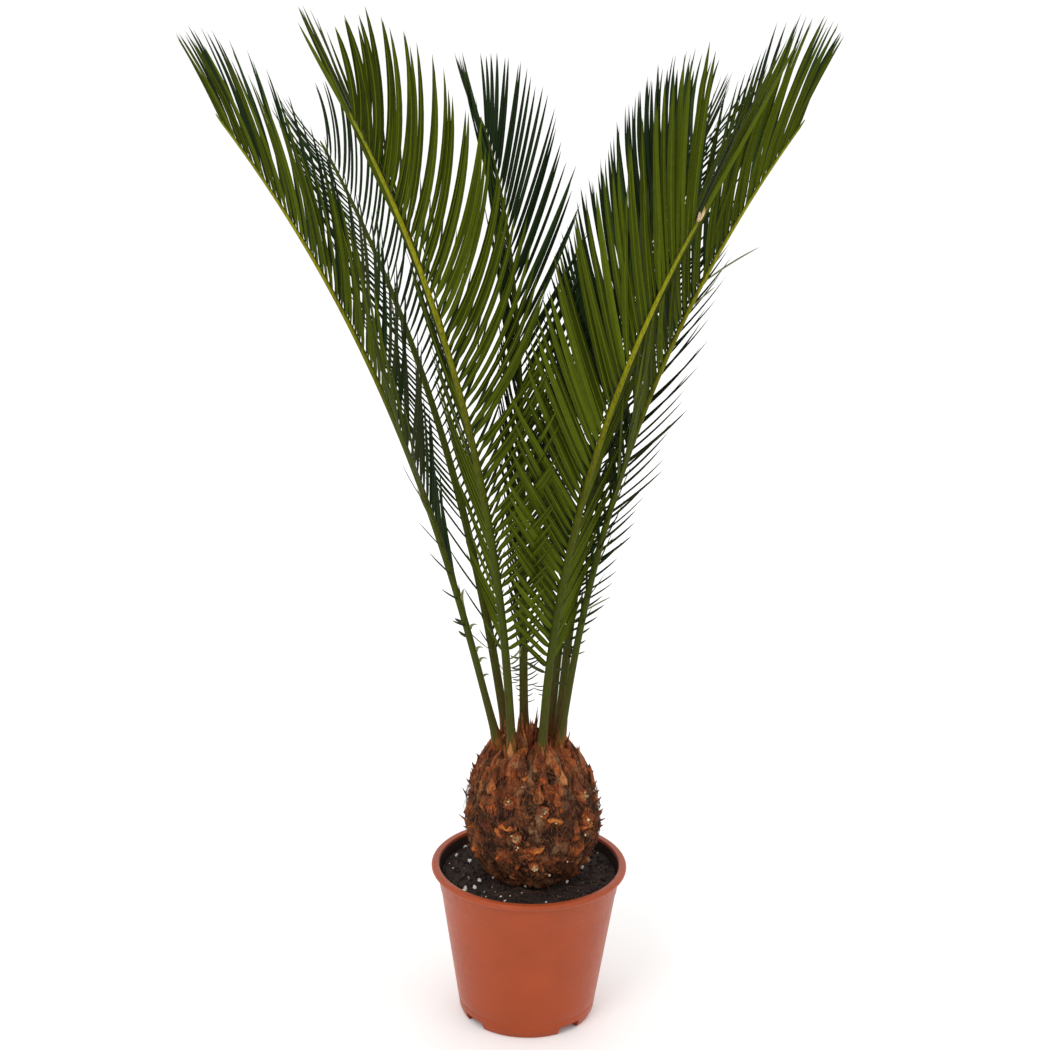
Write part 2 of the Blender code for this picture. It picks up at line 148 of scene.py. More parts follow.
def add_node(tree, kind, inputs=None, **settings):
    """Adds a node; inputs maps a socket's name to a value or to the socket that feeds it."""
    node = tree.nodes.new(kind)
    for name, value in settings.items():
        setattr(node, name, value)
    for name, value in (inputs or {}).items():
        socket = node.inputs[name]
        if isinstance(value, bpy.types.NodeSocket):
            tree.links.new(value, socket)
        else:
            socket.default_value = value
    return node


def start_material(name):
    material = bpy.data.materials.new(name)
    material.use_nodes = True
    tree = material.node_tree
    return material, tree, tree.nodes["Principled BSDF"]


def set_ramp(node, stops):
    """Gives a colour ramp its stops, as (place, colour) pairs."""
    ramp = node.color_ramp
    while len(ramp.elements) > 1:
        ramp.elements.remove(ramp.elements[-1])
    ramp.elements[0].position = stops[0][0]
    ramp.elements[0].color = (*stops[0][1], 1.0)
    for place, colour in stops[1:]:
        ramp.elements.new(place).color = (*colour, 1.0)


def tinted(colour, factor):
    return tuple(min(1.0, channel * factor) for channel in colour)


def per_metre(size_mm):
    """Noise scale that gives features of that size in millimetres."""
    return 1.0 / (size_mm * MM)


# Finishes


def pot_plastic(colour):
    """Injection moulded polypropylene: satin, faintly cloudy, with dull handling marks."""
    material, tree, shader = start_material("moulded polypropylene, terracotta")
    place = add_node(tree, "ShaderNodeTexCoord").outputs["Object"]
    cloud = add_node(tree, "ShaderNodeTexNoise", {"Vector": place, "Scale": per_metre(38.0),
                                                  "Detail": 3.0, "Roughness": 0.55})
    shade = add_node(tree, "ShaderNodeValToRGB", {"Fac": cloud.outputs["Fac"]})
    set_ramp(shade, ((0.3, tinted(colour, 0.9)), (0.55, colour), (0.75, tinted(colour, 1.08))))
    # Dry soil rubbed on the lip: only where the height is near the rim
    height = add_node(tree, "ShaderNodeSeparateXYZ", {"Vector": place}).outputs["Z"]
    near_rim = add_node(tree, "ShaderNodeMapRange", {"Value": height, "From Min": 0.132,
                                                     "From Max": POT_HIGH.z})
    smudge = add_node(tree, "ShaderNodeTexNoise", {"Vector": place, "Scale": per_metre(7.0),
                                                   "Detail": 6.0, "Roughness": 0.7})
    patch = add_node(tree, "ShaderNodeMapRange", {"Value": smudge.outputs["Fac"],
                                                  "From Min": 0.56, "From Max": 0.68,
                                                  "To Max": 0.55})
    dirt = add_node(tree, "ShaderNodeMath", {0: near_rim.outputs["Result"],
                                             1: patch.outputs["Result"]}, operation="MULTIPLY")
    soiled = add_node(tree, "ShaderNodeMix", {"Factor": dirt.outputs[0],
                                              6: shade.outputs["Color"],
                                              7: (*linear_colour("#5A3A2A"), 1.0)},
                      data_type="RGBA")
    tree.links.new(soiled.outputs[2], shader.inputs["Base Color"])
    haze = add_node(tree, "ShaderNodeTexNoise", {"Vector": place, "Scale": per_metre(5.0),
                                                 "Detail": 5.0})
    satin = add_node(tree, "ShaderNodeMapRange", {"Value": haze.outputs["Fac"], "From Min": 0.3,
                                                  "From Max": 0.7, "To Min": 0.4,
                                                  "To Max": 0.52})
    tree.links.new(satin.outputs["Result"], shader.inputs["Roughness"])
    grain = add_node(tree, "ShaderNodeTexNoise", {"Vector": place, "Scale": per_metre(1.1),
                                                  "Detail": 2.0})
    bump = add_node(tree, "ShaderNodeBump", {"Height": grain.outputs["Fac"], "Strength": 0.08,
                                             "Distance": 0.2 * MM})
    tree.links.new(bump.outputs["Normal"], shader.inputs["Normal"])
    shader.inputs["Specular IOR Level"].default_value = 0.32
    shader.inputs["Sheen Weight"].default_value = 0.12
    shader.inputs["Sheen Roughness"].default_value = 0.35
    return material


def fibrous(name, dark, middle, light, grain_mm, stretch, bump_mm, roughness=0.85):
    """Dry plant fibre: fine streaks that run up the trunk, matt, rough to the eye."""
    material, tree, shader = start_material(name)
    place = add_node(tree, "ShaderNodeTexCoord").outputs["Object"]
    drawn = add_node(tree, "ShaderNodeMapping", {"Vector": place,
                                                 "Scale": (1.0, 1.0, 1.0 / stretch)})
    streak = add_node(tree, "ShaderNodeTexNoise", {"Vector": drawn.outputs["Vector"],
                                                   "Scale": per_metre(grain_mm),
                                                   "Detail": 5.0, "Roughness": 0.65})
    patch = add_node(tree, "ShaderNodeTexNoise", {"Vector": place,
                                                  "Scale": per_metre(6.0 * grain_mm),
                                                  "Detail": 3.0})
    both = add_node(tree, "ShaderNodeMix", {"Factor": 0.45, 2: streak.outputs["Fac"],
                                            3: patch.outputs["Fac"]}, data_type="FLOAT")
    shade = add_node(tree, "ShaderNodeValToRGB", {"Fac": both.outputs[0]})
    set_ramp(shade, ((0.36, dark), (0.5, middle), (0.64, light)))
    tree.links.new(shade.outputs["Color"], shader.inputs["Base Color"])
    bump = add_node(tree, "ShaderNodeBump", {"Height": streak.outputs["Fac"], "Strength": 0.7,
                                             "Distance": bump_mm * MM})
    tree.links.new(bump.outputs["Normal"], shader.inputs["Normal"])
    shader.inputs["Roughness"].default_value = roughness
    shader.inputs["Specular IOR Level"].default_value = 0.25
    return material


def bark(name, red, grey, orange, hollow_shade_colour):
    """Old leaf bases: streaky fibre from red brown to grey brown, orange where resin has run, and
    painted shade in the hollows between them.
    """
    material, tree, shader = start_material(name)
    place = add_node(tree, "ShaderNodeTexCoord").outputs["Object"]
    marks = {mark: add_node(tree, "ShaderNodeAttribute", attribute_name=mark).outputs["Fac"]
             for mark in ("tone", "tint", "resin", "hollow")}
    drawn = add_node(tree, "ShaderNodeMapping", {"Vector": place, "Scale": (1.0, 1.0, 0.3)})
    streak = add_node(tree, "ShaderNodeTexNoise", {"Vector": drawn.outputs["Vector"],
                                                   "Scale": per_metre(1.2), "Detail": 5.0,
                                                   "Roughness": 0.75}).outputs["Fac"]
    patch = add_node(tree, "ShaderNodeTexNoise", {"Vector": place, "Scale": per_metre(6.0),
                                                  "Detail": 5.0, "Roughness": 0.65})
    blotch = add_node(tree, "ShaderNodeTexNoise", {"Vector": place, "Scale": per_metre(16.0),
                                                   "Detail": 4.0, "Roughness": 0.6})

    def spread(value, low, high, clamp=False):
        return add_node(tree, "ShaderNodeMapRange",
                        {"Value": value, "From Min": 0.3, "From Max": 0.7, "To Min": low,
                         "To Max": high}, clamp=clamp).outputs["Result"]

    def add_up(*values):
        total = values[0]
        for value in values[1:]:
            total = add_node(tree, "ShaderNodeMath", {0: total, 1: value},
                             operation="ADD").outputs[0]
        return total

    def ramp(value, colours):
        shade = add_node(tree, "ShaderNodeValToRGB", {"Fac": value})
        stops = [0.04 + 0.92 * number / (len(colours) - 1) for number in range(len(colours))]
        set_ramp(shade, list(zip(stops, colours)))
        return shade.outputs["Color"]

    def blend(share, below, above):
        return add_node(tree, "ShaderNodeMix", {"Factor": share, 6: below, 7: above},
                        data_type="RGBA").outputs[2]

    fine = spread(streak, -0.34, 0.34)
    level = add_up(marks["tone"], fine, spread(patch.outputs["Fac"], -0.24, 0.24))
    greyness = add_up(marks["tint"], spread(blotch.outputs["Fac"], -0.9, 0.5))
    skin = blend(greyness, ramp(level, red), ramp(level, grey))
    wet = add_node(tree, "ShaderNodeMapRange", {
        "Value": add_up(marks["resin"], spread(patch.outputs["Fac"], -0.3, 0.3), fine),
        "From Min": 0.42, "From Max": 0.6}).outputs["Result"]
    runny = blend(wet, skin, ramp(add_up(marks["resin"], spread(streak, -0.75, 0.15)), orange))
    # Painted shade: the hollows between the leaf bases are mixed towards a dark brown.
    hollows_painted_shade = blend(marks["hollow"], runny, (*hollow_shade_colour, 1.0))
    tree.links.new(hollows_painted_shade, shader.inputs["Base Color"])
    bump = add_node(tree, "ShaderNodeBump", {"Height": streak, "Strength": 0.9,
                                             "Distance": 1.0 * MM})
    tree.links.new(bump.outputs["Normal"], shader.inputs["Normal"])
    gloss = add_node(tree, "ShaderNodeMapRange", {"Value": wet, "To Min": 0.8, "To Max": 0.42})
    tree.links.new(gloss.outputs["Result"], shader.inputs["Roughness"])
    shader.inputs["Specular IOR Level"].default_value = 0.16
    return material


def peat(colour):
    """Damp peat: nearly black and crumbly; its brown threads are a piece of their own."""
    material, tree, shader = start_material("damp sphagnum peat")
    place = add_node(tree, "ShaderNodeTexCoord").outputs["Object"]
    crumb = add_node(tree, "ShaderNodeTexNoise", {"Vector": place, "Scale": per_metre(2.4),
                                                  "Detail": 8.0, "Roughness": 0.7})
    shade = add_node(tree, "ShaderNodeValToRGB", {"Fac": crumb.outputs["Fac"]})
    set_ramp(shade, ((0.35, tinted(colour, 0.35)), (0.55, colour), (0.72, tinted(colour, 2.2))))
    tree.links.new(shade.outputs["Color"], shader.inputs["Base Color"])
    bump = add_node(tree, "ShaderNodeBump", {"Height": crumb.outputs["Fac"], "Strength": 0.9,
                                             "Distance": 1.2 * MM})
    tree.links.new(bump.outputs["Normal"], shader.inputs["Normal"])
    shader.inputs["Roughness"].default_value = 0.9
    shader.inputs["Specular IOR Level"].default_value = 0.3
    return material


def perlite():
    """Expanded volcanic glass: chalk white, dull, with fine pits."""
    material, tree, shader = start_material("expanded perlite")
    place = add_node(tree, "ShaderNodeTexCoord").outputs["Object"]
    pits = add_node(tree, "ShaderNodeTexNoise", {"Vector": place, "Scale": per_metre(0.9),
                                                 "Detail": 4.0})
    shade = add_node(tree, "ShaderNodeValToRGB", {"Fac": pits.outputs["Fac"]})
    set_ramp(shade, ((0.3, linear_colour("#8E8377")), (0.5, linear_colour("#D9D3C8")),
                     (0.7, linear_colour("#F1EEE8"))))
    tree.links.new(shade.outputs["Color"], shader.inputs["Base Color"])
    bump = add_node(tree, "ShaderNodeBump", {"Height": pits.outputs["Fac"], "Strength": 0.6,
                                             "Distance": 0.3 * MM})
    tree.links.new(bump.outputs["Normal"], shader.inputs["Normal"])
    shader.inputs["Roughness"].default_value = 0.95
    return material


def leaf(name, colour, roughness, gloss=0.05, variation=0.07):
    """Living cycad leaf: leathery skin with a soft waxy gloss, slightly uneven in tone."""
    material, tree, shader = start_material(name)
    shader.inputs["Specular IOR Level"].default_value = gloss
    place = add_node(tree, "ShaderNodeTexCoord").outputs["Object"]
    tone = add_node(tree, "ShaderNodeTexNoise", {"Vector": place, "Scale": per_metre(5.0),
                                                 "Detail": 4.0, "Roughness": 0.6})
    shade = add_node(tree, "ShaderNodeValToRGB", {"Fac": tone.outputs["Fac"]})
    set_ramp(shade, ((0.35, tinted(colour, 1.0 - variation)), (0.5, colour),
                     (0.68, tinted(colour, 1.0 + variation))))
    tree.links.new(shade.outputs["Color"], shader.inputs["Base Color"])
    skin = add_node(tree, "ShaderNodeTexNoise", {"Vector": place, "Scale": per_metre(1.6),
                                                 "Detail": 3.0})
    wax = add_node(tree, "ShaderNodeMapRange", {"Value": skin.outputs["Fac"], "From Min": 0.3,
                                                "From Max": 0.7, "To Min": roughness - 0.06,
                                                "To Max": roughness + 0.08})
    tree.links.new(wax.outputs["Result"], shader.inputs["Roughness"])
    bump = add_node(tree, "ShaderNodeBump", {"Height": skin.outputs["Fac"], "Strength": 0.15,
                                             "Distance": 0.2 * MM})
    tree.links.new(bump.outputs["Normal"], shader.inputs["Normal"])
    return material


def stalk(name, stops):
    """Living leaf stalk: smooth fibrous skin that turns from brown to yellow-green upwards."""
    material, tree, shader = start_material(name)
    run = add_node(tree, "ShaderNodeUVMap", uv_map="along").outputs["UV"]
    share = add_node(tree, "ShaderNodeSeparateXYZ", {"Vector": run}).outputs["Y"]
    place = add_node(tree, "ShaderNodeTexCoord").outputs["Object"]
    drawn = add_node(tree, "ShaderNodeMapping", {"Vector": place, "Scale": (1.0, 1.0, 0.12)})
    streak = add_node(tree, "ShaderNodeTexNoise", {"Vector": drawn.outputs["Vector"],
                                                   "Scale": per_metre(1.3), "Detail": 4.0})
    wander = add_node(tree, "ShaderNodeMapRange", {"Value": streak.outputs["Fac"],
                                                   "From Min": 0.3, "From Max": 0.7,
                                                   "To Min": -0.03, "To Max": 0.03})
    blurred = add_node(tree, "ShaderNodeMath", {0: share, 1: wander.outputs["Result"]},
                       operation="ADD")
    shade = add_node(tree, "ShaderNodeValToRGB", {"Fac": blurred.outputs[0]})
    set_ramp(shade, stops)
    depth = add_node(tree, "ShaderNodeMapRange", {"Value": streak.outputs["Fac"],
                                                  "From Min": 0.35, "From Max": 0.6,
                                                  "To Min": 0.5, "To Max": 0.0})
    veined = add_node(tree, "ShaderNodeMix", {"Factor": depth.outputs["Result"],
                                              6: shade.outputs["Color"],
                                              7: (*linear_colour("#36260F"), 1.0)},
                      data_type="RGBA")
    tree.links.new(veined.outputs[2], shader.inputs["Base Color"])
    bump = add_node(tree, "ShaderNodeBump", {"Height": streak.outputs["Fac"], "Strength": 0.25,
                                             "Distance": 0.3 * MM})
    tree.links.new(bump.outputs["Normal"], shader.inputs["Normal"])
    shader.inputs["Roughness"].default_value = 0.5
    shader.inputs["Specular IOR Level"].default_value = 0.07
    return material


# Mesh helpers


def finish_piece(name, bm, materials, replaced=(), smooth_angle=40.0):
    """Makes the piece's object from a bmesh and hands it to the frame."""
    mesh = bpy.data.meshes.new(name)
    bm.to_mesh(mesh)
    bm.free()
    for material in materials:
        mesh.materials.append(material)
    mesh.shade_smooth()
    mesh.set_sharp_from_angle(angle=math.radians(smooth_angle))
    piece = bpy.data.objects.new(name, mesh)
    bpy.context.scene.collection.objects.link(piece)
    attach(piece, "root")
    if replaced:
        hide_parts(*replaced)
    return piece


def turn_profile(bm, profile, steps):
    """Turns a profile of (radius, height) points about the Z axis into bm."""
    points = [bm.verts.new((radius, 0.0, height)) for radius, height in profile]
    edges = [bm.edges.new(pair) for pair in zip(points, points[1:])]
    bmesh.ops.spin(bm, geom=points + edges, axis=UP, cent=(0.0, 0.0, 0.0), steps=steps,
                   angle=math.tau, use_merge=True)
    bmesh.ops.remove_doubles(bm, verts=bm.verts, dist=0.00001)
    bmesh.ops.recalc_face_normals(bm, faces=bm.faces)


def corner(centre, radius, start, end, steps=5):
    """Points of a rounded corner, in degrees, as (radius, height)."""
    points = []
    for step in range(steps + 1):
        angle = math.radians(start + (end - start) * step / steps)
        points.append((centre[0] + radius * math.cos(angle), centre[1] + radius * math.sin(angle)))
    return points


class Bundle:
    """Points and faces of many small things that are joined into one mesh."""

    def __init__(self):
        self.points = []
        self.faces = []
        self.slots = []
        self.tones = []

    def add(self, points, faces, slots, tone=0.5):
        first = len(self.points)
        self.points.extend(points)
        self.tones.extend([tone] * len(points))
        self.faces.extend(tuple(first + number for number in face) for face in faces)
        self.slots.extend(slots)

    def loft(self, rings, slots, tip=None, tone=0.5):
        """A closed skin through rings of points; slots has one material for each strip."""
        count = len(rings[0])
        points = [point for ring in rings for point in ring]
        faces = [tuple(range(count))[::-1]]
        marks = [slots[0]]
        for row in range(len(rings) - 1):
            low = row * count
            for side in range(count):
                after = (side + 1) % count
                faces.append((low + side, low + after, low + count + after, low + count + side))
                marks.append(slots[side])
        last = (len(rings) - 1) * count
        if tip is None:
            faces.append(tuple(range(last, last + count)))
            marks.append(slots[0])
        else:
            points.append(tip)
            for side in range(count):
                faces.append((last + side, last + (side + 1) % count, len(points) - 1))
                marks.append(slots[side])
        self.add(points, faces, marks, tone)

    def to_bmesh(self):
        mesh = bpy.data.meshes.new("bundle")
        mesh.from_pydata(self.points, [], self.faces)
        mesh.polygons.foreach_set("material_index", self.slots)
        tones = mesh.attributes.new("tone", "FLOAT", "POINT")
        tones.data.foreach_set("value", self.tones)
        bm = bmesh.new()
        bm.from_mesh(mesh)
        bpy.data.meshes.remove(mesh)
        bmesh.ops.recalc_face_normals(bm, faces=bm.faces)
        return bm


def shape_of(bm):
    """Points, faces and material numbers of a small bmesh, for stamping out copies of it."""
    bm.verts.index_update()
    points = [vertex.co.copy() for vertex in bm.verts]
    faces = [tuple(vertex.index for vertex in face.verts) for face in bm.faces]
    slots = [face.material_index for face in bm.faces]
    bm.free()
    return points, faces, slots


def lump_shape(picker, subdivisions, uneven):
    """A rough grain of unit size."""
    bm = bmesh.new()
    bmesh.ops.create_icosphere(bm, subdivisions=subdivisions, radius=1.0)
    seed = Vector((picker.random(), picker.random(), picker.random())) * 50.0
    for vertex in bm.verts:
        vertex.co *= 1.0 + uneven * noise.noise(vertex.co * 1.4 + seed)
    return shape_of(bm)


def random_turn(picker):
    axis = Vector((picker.uniform(-1, 1), picker.uniform(-1, 1), picker.uniform(-1, 1)))
    return Matrix.Rotation(picker.uniform(0.0, math.tau), 3, axis.normalized())


# Pot

POT_STEPS = 192
FLOOR_UNDERSIDE = 8.0 * MM
WALL_FOOT_RADIUS = 59.9 * MM
WALL_TOP_RADIUS = 79.4 * MM
WALL_TOP_HEIGHT = 136.5 * MM
WALL_STEP_HEIGHT = 118.0 * MM
FOOT_RADIUS = 57.4 * MM
FOOT_INNER_RADIUS = 50.0 * MM
HUB_RADIUS = 15.0 * MM
NOTCH_WIDTH = 21.5 * MM
NOTCH_HEIGHT = 7.6 * MM
NOTCH_DIRECTIONS = (39.5, 129.5, 219.5, 309.5)
DRAIN_HOLE_RADIUS = 4.0 * MM
DRAIN_HOLE_CIRCLE = 33.0 * MM


def wall_radius(height):
    share = (height - FLOOR_UNDERSIDE) / (WALL_TOP_HEIGHT - FLOOR_UNDERSIDE)
    return WALL_FOOT_RADIUS + (WALL_TOP_RADIUS - WALL_FOOT_RADIUS) * share


def pot_profile(wall, lip_height):
    """Section of the pot, from the middle of its underside round to the floor inside."""
    top = POT_HIGH.z
    rim = POT_HIGH.x
    lip_low = top - lip_height
    roll = 0.5 * lip_height
    floor_top = FLOOR_UNDERSIDE + 2.0 * MM
    edge = 0.4 * MM
    ring_line = 14.0 * MM
    profile = [(0.0, 0.0)]
    profile += corner((HUB_RADIUS - edge, edge), edge, -90, 0, 3)
    profile += [(HUB_RADIUS, FLOOR_UNDERSIDE), (FOOT_INNER_RADIUS, FLOOR_UNDERSIDE)]
    profile += corner((FOOT_INNER_RADIUS + edge, edge), edge, 180, 270, 3)
    profile += corner((FOOT_RADIUS - 1.4 * MM, 1.8 * MM), 1.8 * MM, -90, -8, 6)
    for height in (5.0 * MM, FLOOR_UNDERSIDE, 11.0 * MM, ring_line - 0.8 * MM):
        profile.append((wall_radius(height), height))
    profile.append((wall_radius(ring_line) - 0.28 * MM, ring_line))
    profile.append((wall_radius(ring_line + 0.8 * MM), ring_line + 0.8 * MM))
    for number in range(1, 11):
        height = ring_line + (WALL_STEP_HEIGHT - 3.0 * MM - ring_line) * number / 10
        profile.append((wall_radius(height), height))
    profile.append((wall_radius(WALL_STEP_HEIGHT) + 0.25 * MM, WALL_STEP_HEIGHT - 0.6 * MM))
    profile.append((wall_radius(WALL_STEP_HEIGHT) + 0.6 * MM, WALL_STEP_HEIGHT + 0.6 * MM))
    profile.append((wall_radius(lip_low - 2.0 * MM) + 0.5 * MM, lip_low - 2.0 * MM))
    profile += corner((wall_radius(lip_low) + 1.7 * MM, lip_low - 1.2 * MM), 1.2 * MM, 180, 90, 4)
    profile += corner((rim - roll, top - roll), roll, -90, 70, 14)
    profile += [(rim - roll - 1.2 * MM, top - 0.1 * MM)]
    profile += corner((rim - 5.6 * MM, top - 1.3 * MM), 1.0 * MM, 80, 180, 5)
    for number in range(9):
        height = top - 3.0 * MM - (top - 3.0 * MM - floor_top) * number / 8
        profile.append((wall_radius(height) - wall, height))
    profile.append((0.0, floor_top))
    return profile


def foot_cutters():
    """Four boxes for the notches in the foot and four rods for the drain holes."""
    bm = bmesh.new()
    for direction in NOTCH_DIRECTIONS:
        turn = Matrix.Rotation(math.radians(direction), 4, "Z")
        box = bmesh.ops.create_cube(bm, size=1.0)["verts"]
        bmesh.ops.scale(bm, vec=(26.0 * MM, NOTCH_WIDTH, 2.0 * NOTCH_HEIGHT), verts=box)
        bmesh.ops.translate(bm, vec=(FOOT_INNER_RADIUS, 0.0, 0.0), verts=box)
        uprights = {edge for vertex in box for edge in vertex.link_edges
                    if abs(edge.verts[0].co.y - edge.verts[1].co.y) < MM
                    and min(edge.verts[0].co.z, edge.verts[1].co.z) > 0.0}
        made = bmesh.ops.bevel(bm, geom=list(uprights), offset=1.5 * MM, segments=4,
                               profile=0.5, affect="EDGES", material=-1)
        shaped = {vertex for vertex in box if vertex.is_valid} | set(made["verts"])
        bmesh.ops.transform(bm, matrix=turn, verts=list(shaped))
        rod = bmesh.ops.create_cone(bm, cap_ends=True, segments=28, radius1=DRAIN_HOLE_RADIUS,
                                    radius2=DRAIN_HOLE_RADIUS, depth=9.0 * MM)["verts"]
        middle = Vector((DRAIN_HOLE_CIRCLE, 0.0, FLOOR_UNDERSIDE + 5.4 * MM))
        bmesh.ops.translate(bm, vec=middle, verts=rod)
        bmesh.ops.transform(bm, matrix=turn, verts=rod)
    return bm


def add_pot(settings):
    bm = bmesh.new()
    turn_profile(bm, pot_profile(settings.wall, settings.lip_height), POT_STEPS)
    mesh = bpy.data.meshes.new("pot_shell")
    bm.to_mesh(mesh)
    bm.free()
    shell = bpy.data.objects.new("pot_shell", mesh)
    cutter_mesh = bpy.data.meshes.new("pot_cutters")
    cutters = foot_cutters()
    cutters.to_mesh(cutter_mesh)
    cutters.free()
    cutter = bpy.data.objects.new("pot_cutters", cutter_mesh)
    for item in (shell, cutter):
        bpy.context.scene.collection.objects.link(item)
    cut = shell.modifiers.new("notches_and_holes", "BOOLEAN")
    cut.operation = "DIFFERENCE"
    cut.object = cutter
    bpy.context.view_layer.update()
    evaluated = shell.evaluated_get(bpy.context.evaluated_depsgraph_get())
    bm = bmesh.new()
    bm.from_mesh(evaluated.to_mesh())
    for item in (shell, cutter):
        bpy.data.objects.remove(item, do_unlink=True)
    # The inner wall, from the soil's foot to just under the rim, takes the dark second finish: soil
    # stain with painted shade over it.
    for face in bm.faces:
        middle = face.calc_center_median()
        inside = middle.xy.length < wall_radius(middle.z) - 0.5 * settings.wall
        if inside and SOIL_LOW.z < middle.z < POT_HIGH.z - 3.2 * MM:
            face.material_index = 1
    # Nearly black browns: soil stain and painted shade on the inner wall.
    stain_and_shade = fibrous("soil stained polypropylene", linear_colour("#1E1410"),
                      linear_colour("#281812"), linear_colour("#3C241A"), 2.0, 1.0, 0.2, 0.6)
    plastic = pot_plastic(settings.plastic)
    finish_piece("nursery_pot", bm, [plastic, stain_and_shade], ("pot",), 32.0)


# Soil

SOIL_EDGE_HEIGHT = 130.6 * MM
SOIL_MIDDLE_HEIGHT = 131.6 * MM
SOIL_RINGS = 46
SOIL_STEPS = 200


def soil_height(x, y, lumps):
    """Height of the soil's surface: level, a little higher round the trunk, and lumpy."""
    radius = math.hypot(x, y)
    share = min(1.0, max(0.0, (76.0 * MM - radius) / (20.0 * MM)))
    level = SOIL_EDGE_HEIGHT + (SOIL_MIDDLE_HEIGHT - SOIL_EDGE_HEIGHT) * share
    place = Vector((x, y, 0.0))
    rough = noise.noise(place * per_metre(14.0)) * 0.6
    rough += noise.noise(place * per_metre(5.5) + Vector((7.0, 3.0, 1.0))) * 0.35
    rough += noise.noise(place * per_metre(2.2) + Vector((1.0, 9.0, 4.0))) * 0.2
    heap = math.exp(-((x + 13.0 * MM) ** 2 + (y + 47.0 * MM) ** 2) / (13.0 * MM) ** 2)
    return level + lumps * rough + 3.2 * MM * heap


def add_soil_body(settings, material):
    floor = SOIL_LOW.z
    profile = [(0.0, SOIL_MIDDLE_HEIGHT)]
    edge = SOIL_HIGH.x - 0.2 * MM
    for number in range(1, SOIL_RINGS + 1):
        profile.append((edge * number / SOIL_RINGS, SOIL_MIDDLE_HEIGHT))
    profile += [(wall_radius(floor) - 2.2 * MM, floor), (0.0, floor)]
    bm = bmesh.new()
    turn_profile(bm, profile, SOIL_STEPS)
    for vertex in bm.verts:
        if vertex.co.z > 0.5 * SOIL_MIDDLE_HEIGHT:
            vertex.co.z = soil_height(vertex.co.x, vertex.co.y, settings.roughness)
    bmesh.ops.recalc_face_normals(bm, faces=bm.faces)
    finish_piece("peat_soil", bm, [material], ("soil",), 180.0)


def scatter_on_soil(picker, count, sizes, shapes, settings, sunk):
    """Grains of random size on the soil, outside the trunk's foot."""
    bundle = Bundle()
    while count > 0:
        radius = math.sqrt(picker.uniform(22.0 ** 2, 74.5 ** 2)) * MM
        angle = picker.uniform(0.0, math.tau)
        x, y = radius * math.cos(angle), radius * math.sin(angle)
        size = (sizes[0] + (sizes[1] - sizes[0]) * picker.random() ** 2.5) * MM
        if radius + size > 75.4 * MM:
            continue
        height = soil_height(x, y, settings.roughness) + size * sunk
        turn = random_turn(picker)
        squash = Vector((1.0, picker.uniform(0.6, 1.0), picker.uniform(0.5, 0.9)))
        points, faces, slots = picker.choice(shapes)
        placed = [Vector((x, y, height)) + turn @ (point * squash) * size for point in points]
        bundle.add(placed, faces, slots)
        count -= 1
    return bundle


def strand(bundle, points, radius, slot, sides=3):
    """A thin thread through points, drawn to a point at its end."""
    rings = []
    for number, point in enumerate(points[:-1]):
        along = (points[number + 1] - point).normalized()
        across = along.orthogonal().normalized()
        other = along.cross(across)
        thickness = radius * (1.0 - 0.6 * number / len(points))
        ring = []
        for side in range(sides):
            angle = math.tau * side / sides
            ring.append(point + (across * math.cos(angle) + other * math.sin(angle)) * thickness)
        rings.append(ring)
    bundle.loft(rings, [slot] * sides, tip=points[-1])


def add_soil(settings):
    picker = random.Random(311)
    soil = peat(settings.peat)
    add_soil_body(settings, soil)
    crumbs = [lump_shape(picker, 1, 0.7) for _ in range(6)]
    bundle = scatter_on_soil(picker, settings.crumbs, (0.5, 2.6), crumbs, settings, 0.2)
    finish_piece("peat_crumbs", bundle.to_bmesh(), [soil], ("soil",), 180.0)
    grains = [lump_shape(picker, 2, 0.8) for _ in range(5)]
    bundle = scatter_on_soil(picker, settings.grains, (0.3, 2.1), grains, settings, 0.45)
    finish_piece("perlite_grains", bundle.to_bmesh(), [perlite()], ("soil",), 180.0)
    bundle = Bundle()
    for _ in range(110):
        radius = picker.uniform(40.0, 70.0) * MM
        angle = picker.uniform(0.0, math.tau)
        heading = picker.uniform(0.0, math.tau)
        turning = picker.uniform(-0.5, 0.5)
        x, y = radius * math.cos(angle), radius * math.sin(angle)
        points = []
        for _ in range(6):
            lift = picker.uniform(0.2, 1.1) * MM
            points.append(Vector((x, y, soil_height(x, y, settings.roughness) + lift)))
            heading += turning
            x += math.cos(heading) * 2.2 * MM
            y += math.sin(heading) * 2.2 * MM
        if all(point.xy.length < 74.5 * MM for point in points):
            strand(bundle, points, 0.22 * MM, 0)
    thread = fibrous("peat root fibre", linear_colour("#3A2417"), linear_colour("#6B4328"),
                     linear_colour("#8C6140"), 1.0, 1.0, 0.1)
    finish_piece("peat_fibres", bundle.to_bmesh(), [thread], ("soil",), 60.0)


# Trunk

TRUNK_CENTRE = Vector((2.6 * MM, 0.0, 0.0))
TRUNK_TOP_SHIFT = Vector((-3.0 * MM, 0.0, 0.0))
TRUNK_RADIUS = 58.0 * MM
TRUNK_WIDEST_HEIGHT = 184.0 * MM
TRUNK_LOWER_REACH = 62.0 * MM
TRUNK_UPPER_REACH = 83.0 * MM
CORE_INSET = 3.4 * MM
LeafBase = namedtuple("LeafBase", "angle height half length proud point drift tone tint resin")
